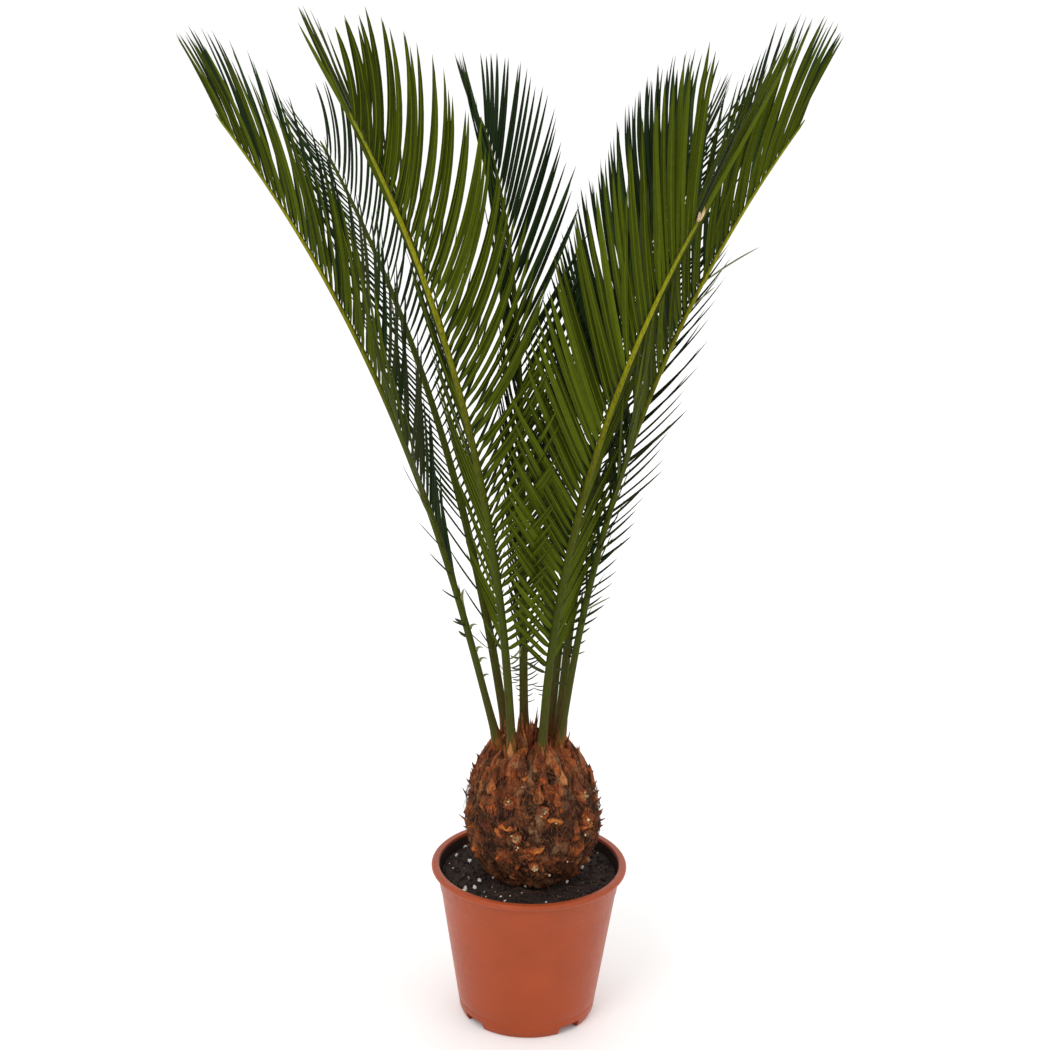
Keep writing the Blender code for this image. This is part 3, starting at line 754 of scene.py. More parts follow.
# Resin-orange stumps: degrees round from +X, height, half width and length in mm, strength
RESIN_BASES = (
    (-98, 236, 5.0, 9, 1.0), (-113, 250, 4.5, 8, 0.9), (-148, 231, 3.2, 15, 0.5),
    (-74, 230, 4.5, 12, 0.55), (-57, 242, 2.0, 7, 0.8), (-25, 238, 3.4, 16, 0.5),
    (-27, 247, 3.0, 12, 0.4), (-116, 196, 7.5, 7, 1.0), (-118, 187, 3.6, 10, 0.95),
    (-71, 202, 7.0, 8, 1.0), (-31, 189, 8.0, 8, 1.0), (-89, 178, 6.0, 10, 1.0),
    (-164, 196, 4.0, 8, 0.8), (-160, 180, 3.4, 12, 0.8), (-150, 165, 5.0, 9, 0.75),
    (-124, 163, 3.0, 10, 0.7), (-85, 163, 4.0, 7, 0.4), (-51, 184, 3.0, 5, 0.6),
    (-128, 218, 3.0, 9, 0.4), (-96, 205, 5.0, 8, 0.35), (-45, 172, 5.0, 7, 0.45),
    (-10, 205, 4.0, 12, 0.6), (-140, 205, 4.0, 10, 0.3), (-106, 160, 5.0, 6, 0.5),
)
# Cut stalks that stand proud: degrees round from +X, height and half width in mm, cut finish
CUT_STALKS = (
    (-112, 219, 5.4, 1), (-80, 212, 5.0, 2), (-34, 218, 4.8, 1), (-36, 197, 4.4, 0),
    (-104, 188, 3.6, 2), (-88, 162, 3.6, 2), (-165, 197, 4.2, 1),
)
# Cream beads of dried sap: degrees round from +X, height and radius in mm
SAP_BEADS = (
    (-82, 211, 1.1), (-79, 213, 0.7), (-37, 199, 1.3), (-35, 198, 0.9), (-99, 233, 1.2),
    (-111, 221, 0.9), (-113, 218, 0.7), (-70, 204, 1.0), (-107, 193, 1.0), (-59, 167, 0.8),
    (-88, 161, 1.1), (-74, 155, 1.2), (-42, 187, 1.0), (-102, 183, 0.9), (-104, 184, 0.6),
    (-103, 181, 0.7), (-33, 221, 0.8), (-30, 217, 0.7),
)
# Points that stand out of the trunk's outline: degrees round from +X, height and length in mm
OUTLINE_SPIKES = (
    (-179, 228, 8), (-181, 203, 9), (-176, 182, 9), (-1, 188, 5), (-3, 183, 6), (-5, 178, 5),
    (4, 214, 5), (2, 200, 5), (0, 194, 4), (1, 208, 4), (12, 226, 5), (176, 214, 5),
)


def trunk_radius(height):
    rise = height - TRUNK_WIDEST_HEIGHT
    reach = TRUNK_UPPER_REACH if rise > 0 else TRUNK_LOWER_REACH
    return TRUNK_RADIUS * math.sqrt(max(0.02, 1.0 - (rise / reach) ** 2))


def trunk_centre(height):
    span = TRUNK_HIGH.z - TRUNK_WIDEST_HEIGHT
    share = max(0.0, (height - TRUNK_WIDEST_HEIGHT) / span)
    return TRUNK_CENTRE + TRUNK_TOP_SHIFT * share + UP * height


def trunk_point(angle, height, lift=0.0):
    """A point on the ball, lifted off it, with the ball's outward direction there."""
    around = Vector((math.cos(angle), math.sin(angle), 0.0))
    step = 0.5 * MM
    slope = (trunk_radius(height + step) - trunk_radius(height - step)) / (2.0 * step)
    outward = (around - UP * slope).normalized()
    return trunk_centre(height) + around * trunk_radius(height) + outward * lift, outward


def trunk_axes(angle, outward):
    """Directions across and up the ball's skin."""
    across = Vector((-math.sin(angle), math.cos(angle), 0.0))
    upward = outward.cross(across).normalized()
    return across, upward * math.copysign(1.0, upward.z)


def trunk_rows(count):
    """Heights of the rows of leaf bases, even along the ball's side."""
    samples = 200
    low, high = TRUNK_LOW.z, TRUNK_HIGH.z
    heights = [low + (high - low) * number / samples for number in range(samples + 1)]
    run = [0.0]
    for before, after in zip(heights, heights[1:]):
        run.append(run[-1] + math.hypot(after - before, trunk_radius(after) - trunk_radius(before)))
    rows = []
    for row in range(count + 1):
        goal = run[-1] * row / count
        rows.append(heights[min(range(samples + 1), key=lambda index: abs(run[index] - goal))])
    return rows


def leaf_base_list(settings, picker):
    """Old leaf bases on the ball: uneven lumps low down, long pointed wedges higher up."""
    bases = []
    for row, height in enumerate(trunk_rows(settings.rows)[:-1]):
        slim = 0.35 + 0.65 * trunk_radius(height) / TRUNK_RADIUS
        climb = min(1.0, max(0.0, (height - 185.0 * MM) / (50.0 * MM)))
        for number in range(settings.bases_round):
            angle = number + 0.5 * (row % 2) + picker.uniform(-0.45, 0.45)
            bases.append(LeafBase(
                angle=math.tau * angle / settings.bases_round,
                height=height + picker.uniform(-4.5, 4.5) * MM,
                half=picker.uniform(3.4, 8.6) * MM * slim,
                length=(picker.uniform(7.0, 15.0) + 12.0 * climb) * MM,
                proud=picker.uniform(1.2, 5.4) * MM * (1.0 - 0.2 * climb),
                point=picker.uniform(0.0, 0.4) + 0.5 * climb,
                drift=picker.uniform(-0.7, 0.7) * (1.0 - 0.6 * climb),
                tone=min(0.9, max(0.1, picker.gauss(0.45 + 0.08 * climb, 0.17))),
                tint=picker.random(),
                resin=picker.choice((0.0, 0.0, 0.0, 0.0, 0.0, 0.25, 0.5))))
    for angle, height, half, length, resin in RESIN_BASES:
        bases.append(LeafBase(
            angle=math.radians(angle), height=height * MM, half=half * MM, length=length * MM,
            proud=picker.uniform(4.6, 6.0) * MM, point=0.2, drift=picker.uniform(-0.4, 0.4),
            tone=0.6, tint=0.1, resin=resin))
    return bases


def raise_leaf_bases(bases, angles, heights, radii):
    """Height of the relief over the core with its tone, tint and resin, for arrays of places."""
    rise = np.zeros(len(angles))
    looks = np.tile(np.array([[0.3], [0.5], [0.0]]), len(angles))
    for base in bases:
        turn = np.angle(np.exp(1j * (angles - base.angle)))
        across = turn * radii
        up = heights - base.height
        near = (np.abs(across) < 2.0 * base.half + 5.0 * MM) & (np.abs(up) < base.length + 6.0 * MM)
        share = (up[near] + 0.4 * base.length) / base.length
        aside = across[near] - base.drift * (up[near] + 0.4 * base.length)
        width = base.half * (1.0 - base.point * np.clip(share, 0.0, 1.0) ** 1.5)
        flank = np.clip(1.0 - (np.abs(aside) / width) ** 2.2, 0.0, 1.0)
        climb = np.clip(share / 0.75, 0.0, 1.0) ** 0.8
        end = np.clip((1.0 - share) / 0.22, 0.0, 1.0) ** 0.7
        bump = base.proud * climb * end * flank ** 0.6
        higher = bump > rise[near]
        places = np.flatnonzero(near)[higher]
        rise[places] = bump[higher]
        rim = np.clip(1.5 * flank * climb, 0.0, 1.0)[higher]
        looks[:, places] = np.array([base.tone, base.tint, base.resin])[:, None]
        looks[2, places] *= rim
    return rise, looks


def add_trunk_relief(settings, material):
    """The ball of old leaf bases as one closed relief with fibrous skin."""
    picker = random.Random(52)
    low, high = TRUNK_LOW.z - 3.0 * MM, TRUNK_HIGH.z - 1.5 * MM
    rows = 205
    profile = [(0.0, low)]
    for row in range(rows + 1):
        height = low + (high - low) * row / rows
        profile.append((trunk_radius(height) - CORE_INSET, height))
    profile.append((0.5 * trunk_radius(high), high + 1.0 * MM))
    profile.append((0.0, high + 1.5 * MM))
    bm = bmesh.new()
    turn_profile(bm, profile, 430)
    spots = np.array([tuple(vertex.co) for vertex in bm.verts])
    warps = np.array([tuple(noise.noise_vector(vertex.co * per_metre(10.0))
                            + 0.5 * noise.noise_vector(vertex.co * per_metre(4.0)))
                      for vertex in bm.verts]) * 4.5 * MM
    radii = np.maximum(np.hypot(spots[:, 0], spots[:, 1]), MM)
    angles = np.arctan2(spots[:, 1], spots[:, 0]) + warps[:, 0] / radii
    rise, looks = raise_leaf_bases(leaf_base_list(settings, picker), angles,
                                   spots[:, 2] + warps[:, 1], radii)
    layers = [bm.verts.layers.float.new(name) for name in ("tone", "tint", "resin", "hollow")]
    for vertex, lift, look in zip(bm.verts, rise, looks.T):
        height = vertex.co.z
        angle = math.atan2(vertex.co.y, vertex.co.x)
        place = Vector((vertex.co.x, vertex.co.y, 0.35 * height))
        rough = 1.1 * noise.noise(place * per_metre(3.0))
        rough += 0.8 * noise.noise(place * per_metre(1.2) + Vector((5.0, 2.0, 8.0)))
        rough += 1.8 * noise.noise(vertex.co * per_metre(9.0) + Vector((2.0, 4.0, 6.0)))
        # Painted shade: the lower the relief lies, the more the bark is darkened, deepest between
        # the leaf bases.
        hollow = 0.8 * max(0.0, 1.0 - (lift / MM + rough) / 1.5)
        for layer, value in zip(layers, (*look, min(1.0, hollow))):
            vertex[layer] = float(value)
        if vertex.co.xy.length > 10.0 * MM:
            _, outward = trunk_point(angle, height)
            vertex.co += outward * (lift + rough * MM)
        vertex.co += trunk_centre(height) - UP * height
    bmesh.ops.recalc_face_normals(bm, faces=bm.faces)
    finish_piece("trunk_relief", bm, [material], ("trunk",), 180.0)


def stub_shape(picker):
    """A cut leaf base of unit size: x across, y up the trunk, z outwards, cut face last."""
    bm = bmesh.new()
    bmesh.ops.create_circle(bm, cap_ends=True, segments=14, radius=1.0)
    for vertex in bm.verts:
        x, y = vertex.co.x, vertex.co.y
        vertex.co.x = math.copysign(abs(x) ** 1.15, x)
        vertex.co.y = math.copysign(abs(y) ** 1.25, y)
    bm.faces.ensure_lookup_table()
    face = bm.faces[0]
    levels = ((0.35, 1.04, 0.02), (0.35, 0.98, 0.06), (0.3, 0.9, 0.08), (0.12, 0.86, 0.02))
    for rise, scale, lean in levels:
        made = bmesh.ops.extrude_face_region(bm, geom=[face])["geom"]
        moved = [item for item in made if isinstance(item, bmesh.types.BMVert)]
        bmesh.ops.delete(bm, geom=[face], context="FACES_ONLY")
        face = next(item for item in made if isinstance(item, bmesh.types.BMFace))
        middle = face.calc_center_median()
        for vertex in moved:
            vertex.co = middle + (vertex.co - middle) * scale + Vector((0.0, lean, rise))
    bmesh.ops.inset_region(bm, faces=[face], thickness=0.13, depth=0.02)
    bmesh.ops.inset_region(bm, faces=[face], thickness=0.16, depth=-picker.uniform(0.2, 0.45))
    bmesh.ops.inset_region(bm, faces=[face], thickness=0.22, depth=0.1)
    bmesh.ops.poke(bm, faces=[face])
    bm.faces.ensure_lookup_table()
    top = max(vertex.co.z for vertex in bm.verts)
    seed = Vector((picker.random(), picker.random(), picker.random())) * 40.0
    for item in bm.faces:
        middle = item.calc_center_median()
        item.material_index = 1 if middle.z > top - 0.5 and middle.xy.length < 0.66 else 0
    for vertex in bm.verts:
        vertex.co += noise.noise_vector(vertex.co * 1.5 + seed) * 0.34
    bmesh.ops.recalc_face_normals(bm, faces=bm.faces)
    return shape_of(bm)


def place_on_trunk(shape, angle, height, size, lean, lift, spin=0.0):
    """Copies a unit shape onto the ball; lean turns its outward axis up the trunk."""
    point, outward = trunk_point(angle, height, lift)
    across, upward = trunk_axes(angle, outward)
    axis = (outward * math.cos(lean) + upward * math.sin(lean)).normalized()
    rise = (upward * math.cos(lean) - outward * math.sin(lean)).normalized()
    turned = across * math.cos(spin) + rise * math.sin(spin)
    raised = rise * math.cos(spin) - across * math.sin(spin)
    points = []
    for local in shape[0]:
        points.append(point + turned * (local.x * size[0]) + raised * (local.y * size[1])
                      + axis * (local.z * size[2]))
    return points


def add_cut_stalks(cuts):
    """Stumps with a corky cut face, sunk in among the other leaf bases."""
    picker = random.Random(53)
    shapes = [stub_shape(picker) for _ in range(9)]
    bundle = Bundle()
    places = [(math.radians(angle), height * MM, half * MM, finish)
              for angle, height, half, finish in CUT_STALKS]
    for _ in range(26):
        angle = math.radians(picker.uniform(5.0, 175.0))
        height = picker.uniform(142.0, 232.0) * MM
        clear = all(math.hypot(TRUNK_RADIUS * math.remainder(angle - other, math.tau),
                               height - level) > 15.0 * MM for other, level, _, _ in places)
        if clear:
            places.append((angle, height, picker.uniform(3.4, 5.2) * MM, picker.choice((0, 1, 3))))
    for angle, height, half, finish in places:
        shape = picker.choice(shapes)
        size = (half, half * picker.uniform(1.0, 1.5), picker.uniform(4.4, 5.4) * MM)
        lean = math.radians(picker.uniform(10.0, 40.0))
        points = place_on_trunk(shape, angle, height, size, lean, -CORE_INSET,
                                math.radians(picker.uniform(-35.0, 35.0)))
        bundle.add(points, shape[1], [finish if slot else len(cuts) - 1 for slot in shape[2]])
    bm = bundle.to_bmesh()
    bmesh.ops.subdivide_edges(bm, edges=bm.edges, cuts=3, smooth=0.6, use_grid_fill=True)
    for vertex in bm.verts:
        rough = noise.noise(vertex.co * per_metre(1.3)) + noise.noise(vertex.co * per_metre(3.4))
        vertex.co += vertex.normal * rough * 0.9 * MM
    finish_piece("cut_leaf_bases", bm, cuts, ("trunk",), 180.0)


def add_sap_beads():
    """Cream beads of dried sap that glint on the cut stumps."""
    picker = random.Random(7)
    shapes = [lump_shape(picker, 2, 0.9) for _ in range(4)]
    bundle = Bundle()
    places = list(SAP_BEADS)
    for _ in range(20):
        places.append((picker.uniform(5.0, 175.0), picker.uniform(150.0, 235.0),
                       picker.uniform(0.6, 1.2)))
    for angle, height, radius in places:
        points, faces, slots = picker.choice(shapes)
        centre, _ = trunk_point(math.radians(angle), height * MM, 2.2 * MM)
        turn = random_turn(picker)
        squash = Vector((1.0, picker.uniform(0.5, 0.9), picker.uniform(0.4, 0.8)))
        placed = [centre + turn @ (point * squash) * radius * MM for point in points]
        bundle.add(placed, faces, slots)
    finish_piece("dried_sap", bundle.to_bmesh(), [dried_sap()], ("trunk",), 180.0)


def scale_rings(point, outward, across, upward, length, width, thick, hug, picker):
    """Sections of a pointed dry scale that lies against the trunk and stands off at its tip."""
    rings = []
    sections = 7
    sides = 10
    drift = picker.uniform(-0.14, 0.14)
    ridges = [picker.uniform(-0.16, 0.16) for _ in range(sides)]
    for number in range(sections):
        share = number / sections
        half = 0.5 * width * (0.75 + 0.5 * math.sin(math.pi * min(1.0, share * 1.5)) ** 0.8)
        half *= 1.0 - share ** 2.2
        depth = 0.5 * thick * (1.0 - 0.75 * share)
        lift = outward * (thick * 0.5 + hug * math.sin(share * math.pi * 0.55))
        centre = point + upward * (length * share) + across * (drift * length * share) + lift
        ring = []
        for side in range(sides):
            angle = math.tau * side / sides
            swell = 1.0 + ridges[side]
            hollow_side = outward * (-depth * 0.8 * math.cos(angle) ** 2)
            ring.append(centre + across * (half * math.cos(angle) * swell)
                        + outward * (depth * math.sin(angle) * swell) + hollow_side)
        rings.append(ring)
    tip = point + upward * length + across * (drift * length) + outward * (hug + 0.4 * thick)
    return rings, tip


def add_leaf_scales(material):
    """Pointed leaf bases that overlap upwards round the shoulder, and spikes that stand off."""
    picker = random.Random(88)
    bundle = Bundle()
    for row, (height, count) in enumerate(((218, 12), (226, 14), (234, 15), (241, 16), (247, 17))):
        for number in range(count):
            angle = math.tau * (number + 0.5 * (row % 2) + picker.uniform(-0.35, 0.35)) / count
            spot = (height + picker.uniform(-4.0, 4.0)) * MM
            point, outward = trunk_point(angle, spot, picker.uniform(-4.0, -2.2) * MM)
            across, upward = trunk_axes(angle, outward)
            rings, tip = scale_rings(point, outward, across, upward,
                                     picker.uniform(13.0, 25.0) * MM,
                                     picker.uniform(4.5, 9.5) * MM, picker.uniform(2.6, 5.0) * MM,
                                     picker.uniform(0.2, 1.8) * MM, picker)
            bundle.loft(rings, [0] * 10, tip=tip, tone=picker.gauss(0.52, 0.16))
    spikes = [(math.radians(angle), height * MM, length * MM)
              for angle, height, length in OUTLINE_SPIKES]
    for _ in range(90):
        spikes.append((picker.uniform(0.0, math.tau), picker.uniform(150.0, 244.0) * MM,
                       picker.uniform(4.0, 7.5) * MM))
    for angle, height, length in spikes:
        point, outward = trunk_point(angle, height, -0.5 * MM)
        across, upward = trunk_axes(angle, outward)
        lean = math.radians(picker.uniform(20.0, 60.0))
        rise = (upward * math.cos(lean) + outward * math.sin(lean)).normalized()
        away = (outward * math.cos(lean) - upward * math.sin(lean)).normalized()
        rings, tip = scale_rings(point, away, across, rise, length,
                                 picker.uniform(1.8, 3.6) * MM, 1.4 * MM, 0.3 * MM, picker)
        bundle.loft(rings, [0] * 10, tip=tip, tone=picker.gauss(0.5, 0.2))
    finish_piece("leaf_scales", bundle.to_bmesh(), [material], ("trunk",), 70.0)


def add_trunk_fibres(settings, materials):
    """Loose fibre matted over the ball, most of it lying up the trunk."""
    picker = random.Random(19)
    bundle = Bundle()
    for number in range(settings.fibres):
        angle = picker.uniform(0.0, math.tau)
        height = picker.uniform(133.0, 250.0) * MM
        point, outward = trunk_point(angle, height, picker.uniform(-1.8, 1.2) * MM)
        across, upward = trunk_axes(angle, outward)
        heading = upward + across * picker.uniform(-1.3, 1.3) + outward * picker.uniform(-0.15, 0.22)
        heading.normalize()
        length = picker.uniform(3.0, 9.0 if number % 12 else 18.0) * MM
        curl = across * picker.uniform(-0.6, 0.6) + outward * picker.uniform(-0.3, 0.1)
        points = [point]
        for _ in range(3):
            points.append(points[-1] + heading * (length / 3.0))
            heading = (heading + curl).normalized()
        strand(bundle, points, picker.uniform(0.14, 0.34) * MM, picker.randrange(len(materials)))
    finish_piece("trunk_fibres", bundle.to_bmesh(), materials, ("trunk",), 60.0)


def trunk_bark():
    red = ("#32170C", "#552714", "#763A1B", "#92522B", "#AC7446")
    grey = ("#261810", "#452E1E", "#5F4530", "#785B40", "#927555")
    orange = ("#74300F", "#A04C17", "#B9682A", "#CE8E50")
    # The last colour is the painted shade that darkens the hollows between the leaf bases.
    return bark("leaf base bark", *([linear_colour(text) for text in row]
                                    for row in (red, grey, orange)), linear_colour("#2A150B"))


def dried_sap():
    """Sap that has set hard: cream, glassy on top."""
    material, tree, shader = start_material("dried sap")
    place = add_node(tree, "ShaderNodeTexCoord").outputs["Object"]
    cloud = add_node(tree, "ShaderNodeTexNoise", {"Vector": place, "Scale": per_metre(0.8)})
    shade = add_node(tree, "ShaderNodeValToRGB", {"Fac": cloud.outputs["Fac"]})
    set_ramp(shade, ((0.35, linear_colour("#9A7442")), (0.6, linear_colour("#DCC9A2"))))
    tree.links.new(shade.outputs["Color"], shader.inputs["Base Color"])
    shader.inputs["Roughness"].default_value = 0.3
    return material


def cut_faces():
    """Cut ends of leaf stalks: corky, dry, orange where the resin shows."""
    shades = (
        ("cut leaf stalk, orange", "#6A2E10", "#A0561F", "#CC9050"),
        ("cut leaf stalk, tan", "#4A2A14", "#8A5C32", "#C49C6A"),
        ("cut leaf stalk, cream", "#4A2C16", "#7E5A38", "#C0A47C"),
        ("cut leaf stalk, brown", "#2E1A10", "#573318", "#7C5030"),
        ("cut leaf stalk, red brown", "#43190C", "#7A381A", "#A05A2A"),
    )
    return [fibrous(name, linear_colour(dark), linear_colour(middle), linear_colour(light),
                    1.8, 1.6, 0.6) for name, dark, middle, light in shades]


def add_trunk(settings):
    colour = tuple(settings.fibre_colour)
    shades = (("dark", 0.5), ("brown", 1.0), ("fair", 1.6))
    fibres = [fibrous("loose leaf base fibre, " + name, tinted(colour, 0.6 * factor),
                      tinted(colour, factor), tinted(colour, 1.6 * factor), 1.1, 4.0, 0.1)
              for name, factor in shades]
    brown = trunk_bark()
    add_trunk_relief(settings, brown)
    add_cut_stalks(cut_faces())
    add_sap_beads()
    add_leaf_scales(brown)
    add_trunk_fibres(settings, fibres)


# Fronds

Frond = namedtuple(
    "Frond", "name foot heading lean_foot lean_tip bend length turn keel low_keel leaf kept")
# foot: place on the trunk's top in mm; heading: degrees from +X towards +Y; leans: degrees
# from upright; bend: how late the lean grows; length of the rib in mm; turn: degrees that the
# blade is turned about the rib; keel: degrees that the leaflets rise from a flat blade; low_keel:
# share of the keel that the lowest leaflets have; leaf: size of its leaflets against the usual;
# kept: share of the whole frond where its tip is broken.
FRONDS = (
    Frond("frond_left", (-27.5, -4), 183, 13.5, 37.2, 1.5, 586, 0, 38, 0.1, 0.9, 1.0),
    Frond("frond_left_rear", (-21, 17), 134, 13, 44, 1.2, 550, -27, 18, 0.4, 0.8, 1.0),
    Frond("frond_left_front", (-16, -20), 225, 4, 33, 1.15, 590, 0, 34, 0.4, 1.06, 1.0),
    Frond("frond_rear", (-6, 22), 129, 2, 33, 4.4, 533, 0, 30, 0.4, 0.8, 1.0),
    Frond("frond_right_front", (9, -21), 315, 1.5, 32, 0.9, 510, 0, 34, 0.4, 1.12, 0.84),
    Frond("frond_rear_right", (16, 21), 47, 5, 33.5, 1.2, 530, 0, 30, 0.4, 0.9, 1.0),
    Frond("frond_right", (23.5, -4), 356, 6.5, 34.2, 1.3, 574, 0, 40, 0.2, 1.07, 1.0),
    Frond("frond_right_rear", (23, 12), 38, 4.5, 31, 1.3, 540, 28, 16, 0.4, 0.88, 1.0),
)
# Rows of leaflets that hang the other way about their own length: name and side
BACK_TWISTED = (("frond_left_front", -1), ("frond_right_front", 1))
# Rows whose leaflets are nearly straight, rows folded up along the rib, and slimmer fronds
STRAIGHT_ROWS = (("frond_right_front", -1), ("frond_rear", -1), ("frond_rear_right", 1))
FOLDED_ROWS = (("frond_rear", 1),)
# Rows whose lowest leaflets stand steeply along the rib, rows where all do, rows whose lowest
# leaflets droop outwards, and rows that are sparse at their foot
STEEP_FOOT_ROWS = (("frond_left", -1), ("frond_left_rear", -1), ("frond_right", -1),
                   ("frond_right_rear", 1))
STEEP_ROWS = (("frond_left_rear", 1),)
DROOPING_ROWS = (("frond_left", 1), ("frond_right", -1))
SPARSE_FOOT_ROWS = (("frond_left", 1), ("frond_right", -1), ("frond_right", 1),
                    ("frond_left_rear", 1))
SLIM_FRONDS = ("frond_left", "frond_right", "frond_left_rear", "frond_right_rear")
NARROW_FRONDS = ("frond_left_front", "frond_right_front")
# Fronds whose lower faces are dealt the darker mix: painted shade
DARK_FRONDS = ("frond_left_front", "frond_left", "frond_right")
# Fronds at the back, whose lower faces take the painted shade copies
REAR_FRONDS = ("frond_left_rear", "frond_rear", "frond_rear_right", "frond_right_rear")
FROND_FOOT = 252.3 * MM
PETIOLE_SHARE = 0.14
# Fronds whose bare stalk is longer than that
LONG_PETIOLES = {"frond_left": 0.19, "frond_left_front": 0.16, "frond_right_front": 0.165,
                 "frond_right": 0.2}
# Length of the lowest leaflets against the longest
SHORTEST_LEAFLETS = {"frond_right_front": 0.3, "frond_left_front": 0.24, "frond_left": 0.18,
                     "frond_right": 0.18}
# Odd leaflets: frond, share of the rib, degrees that they are raised from the blade, length in
# mm, angle off the rib and curl in degrees
ODD_LEAFLETS = (
    ("frond_left", 0.225, 70, 18, 24, -50), ("frond_left", 0.188, 75, 12, 70, -120),
    ("frond_left", 0.152, 70, 13, 74, -130), ("frond_left", 0.135, 80, 12, 84, -150),
    ("frond_left", 0.112, 75, 8, 80, -100), ("frond_left", 0.2, -70, 8, 48, 20),
    ("frond_left", 0.178, -75, 9, 40, 30), ("frond_left", 0.182, 60, 26, 118, 10),
    ("frond_right", 0.148, 80, 18, 40, -90), ("frond_right", 0.12, 85, 13, 96, -60),
    ("frond_right", 0.1, 80, 11, 100, -50), ("frond_right", 0.22, -60, 27, 66, -8),
    ("frond_right", 0.15, -70, 8, 70, -10), ("frond_right_front", 0.16, 100, 20, 50, 30),
    ("frond_right_front", 0.15, 120, 22, 62, 20), ("frond_left_front", 0.15, 40, 16, 44, 40),
    ("frond_left_front", 0.142, 50, 14, 48, 60), ("frond_right", 0.74, -55, 58, 46, -16),
    ("frond_right", 0.7, -60, 26, 34, -10),
)
LAST_LEAFLET_SHARE = 0.985
LEAFLET_LONGEST = 150.0 * MM
PETIOLE_RADIUS = 4.0 * MM
RIB_TIP_RADIUS = 1.2 * MM
RIB_SWELL_RADIUS = 2.6 * MM
RIB_SWELL_LENGTH = 22.0 * MM
RIB_SECTIONS = 72
RIB_SIDES = 12
RIB_SAMPLES = 480
LEAFLET_SEGMENTS = 11
# How often each finish of the lower face is dealt out
USUAL_MIX = (3, 4, 4, 5, 5, 5, 6, 6, 7)
DARK_MIX = (3, 3, 3, 4, 4, 4, 5, 5, 6)
LEAFLET_TWIST = math.radians(24.0)
# Half a leaflet's section, in half widths: rolled edges, a groove above, a rib below
LEAFLET_SECTION = (
    (-1.0, -0.42), (-0.5, 0.0), (0.0, -0.14), (0.5, 0.0),
    (1.0, -0.42), (0.2, -0.18), (0.0, -0.4), (-0.2, -0.18),
)


def rib_direction(frond, share):
    lean = math.radians(frond.lean_foot + (frond.lean_tip - frond.lean_foot) * share ** frond.bend)
    heading = math.radians(frond.heading)
    return Vector((math.sin(lean) * math.cos(heading), math.sin(lean) * math.sin(heading),
                   math.cos(lean)))


def rib_points(frond, count):
    """Points along the rib, from the trunk's top to the rib's tip."""
    place = Vector((frond.foot[0] * MM, frond.foot[1] * MM, FROND_FOOT))
    points = [place.copy()]
    for number in range(count):
        place = place + rib_direction(frond, (number + 0.5) / count) * (frond.length * MM / count)
        points.append(place.copy())
    return points


def rib_frame(frond, share):
    """Direction along the rib, across the blade, and out of its upper face."""
    along = rib_direction(frond, max(0.0, share))
    heading = math.radians(frond.heading)
    across = Vector((-math.sin(heading), math.cos(heading), 0.0))
    upper = along.cross(across)
    turn = math.radians(frond.turn) * min(1.0, max(0.0, share) / 0.5)
    turned_across = across * math.cos(turn) + along.cross(across) * math.sin(turn)
    turned_upper = upper * math.cos(turn) + along.cross(upper) * math.sin(turn)
    return along, turned_across.normalized(), turned_upper.normalized()


def rib_radius(frond, share):
    run = max(0.0, share) * frond.length * MM
    swell = RIB_SWELL_RADIUS * max(0.0, 1.0 - run / RIB_SWELL_LENGTH) ** 2
    return swell + RIB_TIP_RADIUS + (PETIOLE_RADIUS - RIB_TIP_RADIUS) * (1.0 - share ** 1.4)


def rib_section(frond, share):
    """Round below and flat above, with a shallow groove along the middle of the top."""
    offsets = []
    grooved = min(1.0, share / 0.08)
    for side in range(RIB_SIDES):
        angle = math.tau * side / RIB_SIDES
        across, above = math.cos(angle), math.sin(angle)
        if above > 0.1:
            above *= 1.0 - 0.45 * grooved
            if abs(across) < 0.3:
                above -= 0.22 * grooved
        offsets.append((across * 1.02, above * 1.05))
    return offsets


def add_rib(frond, materials):
    """The stalk and rib of a frond, sunk a little into the trunk's top."""
    points = rib_points(frond, RIB_SECTIONS)
    sunk = 7.0 * MM
    bm = bmesh.new()
    run = bm.loops.layers.uv.new("along")
    rings = []
    shares = [0.0]
    stations = [points[0] - rib_direction(frond, 0.0) * sunk]
    for number, point in enumerate(points):
        shares.append(number / RIB_SECTIONS)
        stations.append(point)
    for share, place in zip(shares, stations):
        _, across, upper = rib_frame(frond, share)
        radius = rib_radius(frond, share)
        if share >= 1.0:
            radius *= 0.4
        ring = []
        for x, z in rib_section(frond, share):
            ring.append(bm.verts.new(place + across * (x * radius) + upper * (z * radius)))
        for side in range(RIB_SIDES):
            bm.edges.new((ring[side], ring[(side + 1) % RIB_SIDES]))
        rings.append(ring)
    for number, (low, high) in enumerate(zip(rings, rings[1:])):
        loops = []
        for ring in (low, high):
            for side in range(RIB_SIDES):
                loops.append(bm.edges.get((ring[side], ring[(side + 1) % RIB_SIDES])))
        made = bmesh.ops.bridge_loops(bm, edges=loops)["faces"]
        for face in made:
            middle = face.calc_center_median()
            share = shares[number + 1]
            _, across, upper = rib_frame(frond, share)
            centre = (stations[number] + stations[number + 1]) / 2.0
            height = (middle - centre).dot(upper)
            face.material_index = 1 if height > 0.3 * rib_radius(frond, share) else 0
            for loop in face.loops:
                row = number + 1 if loop.vert in high else number
                loop[run].uv = (0.5, shares[row])
    bm.faces.new(rings[0])
    bm.faces.new(rings[-1])
    bmesh.ops.recalc_face_normals(bm, faces=bm.faces)
    finish_piece(frond.name + "_rib", bm, materials, (frond.name,), 60.0)


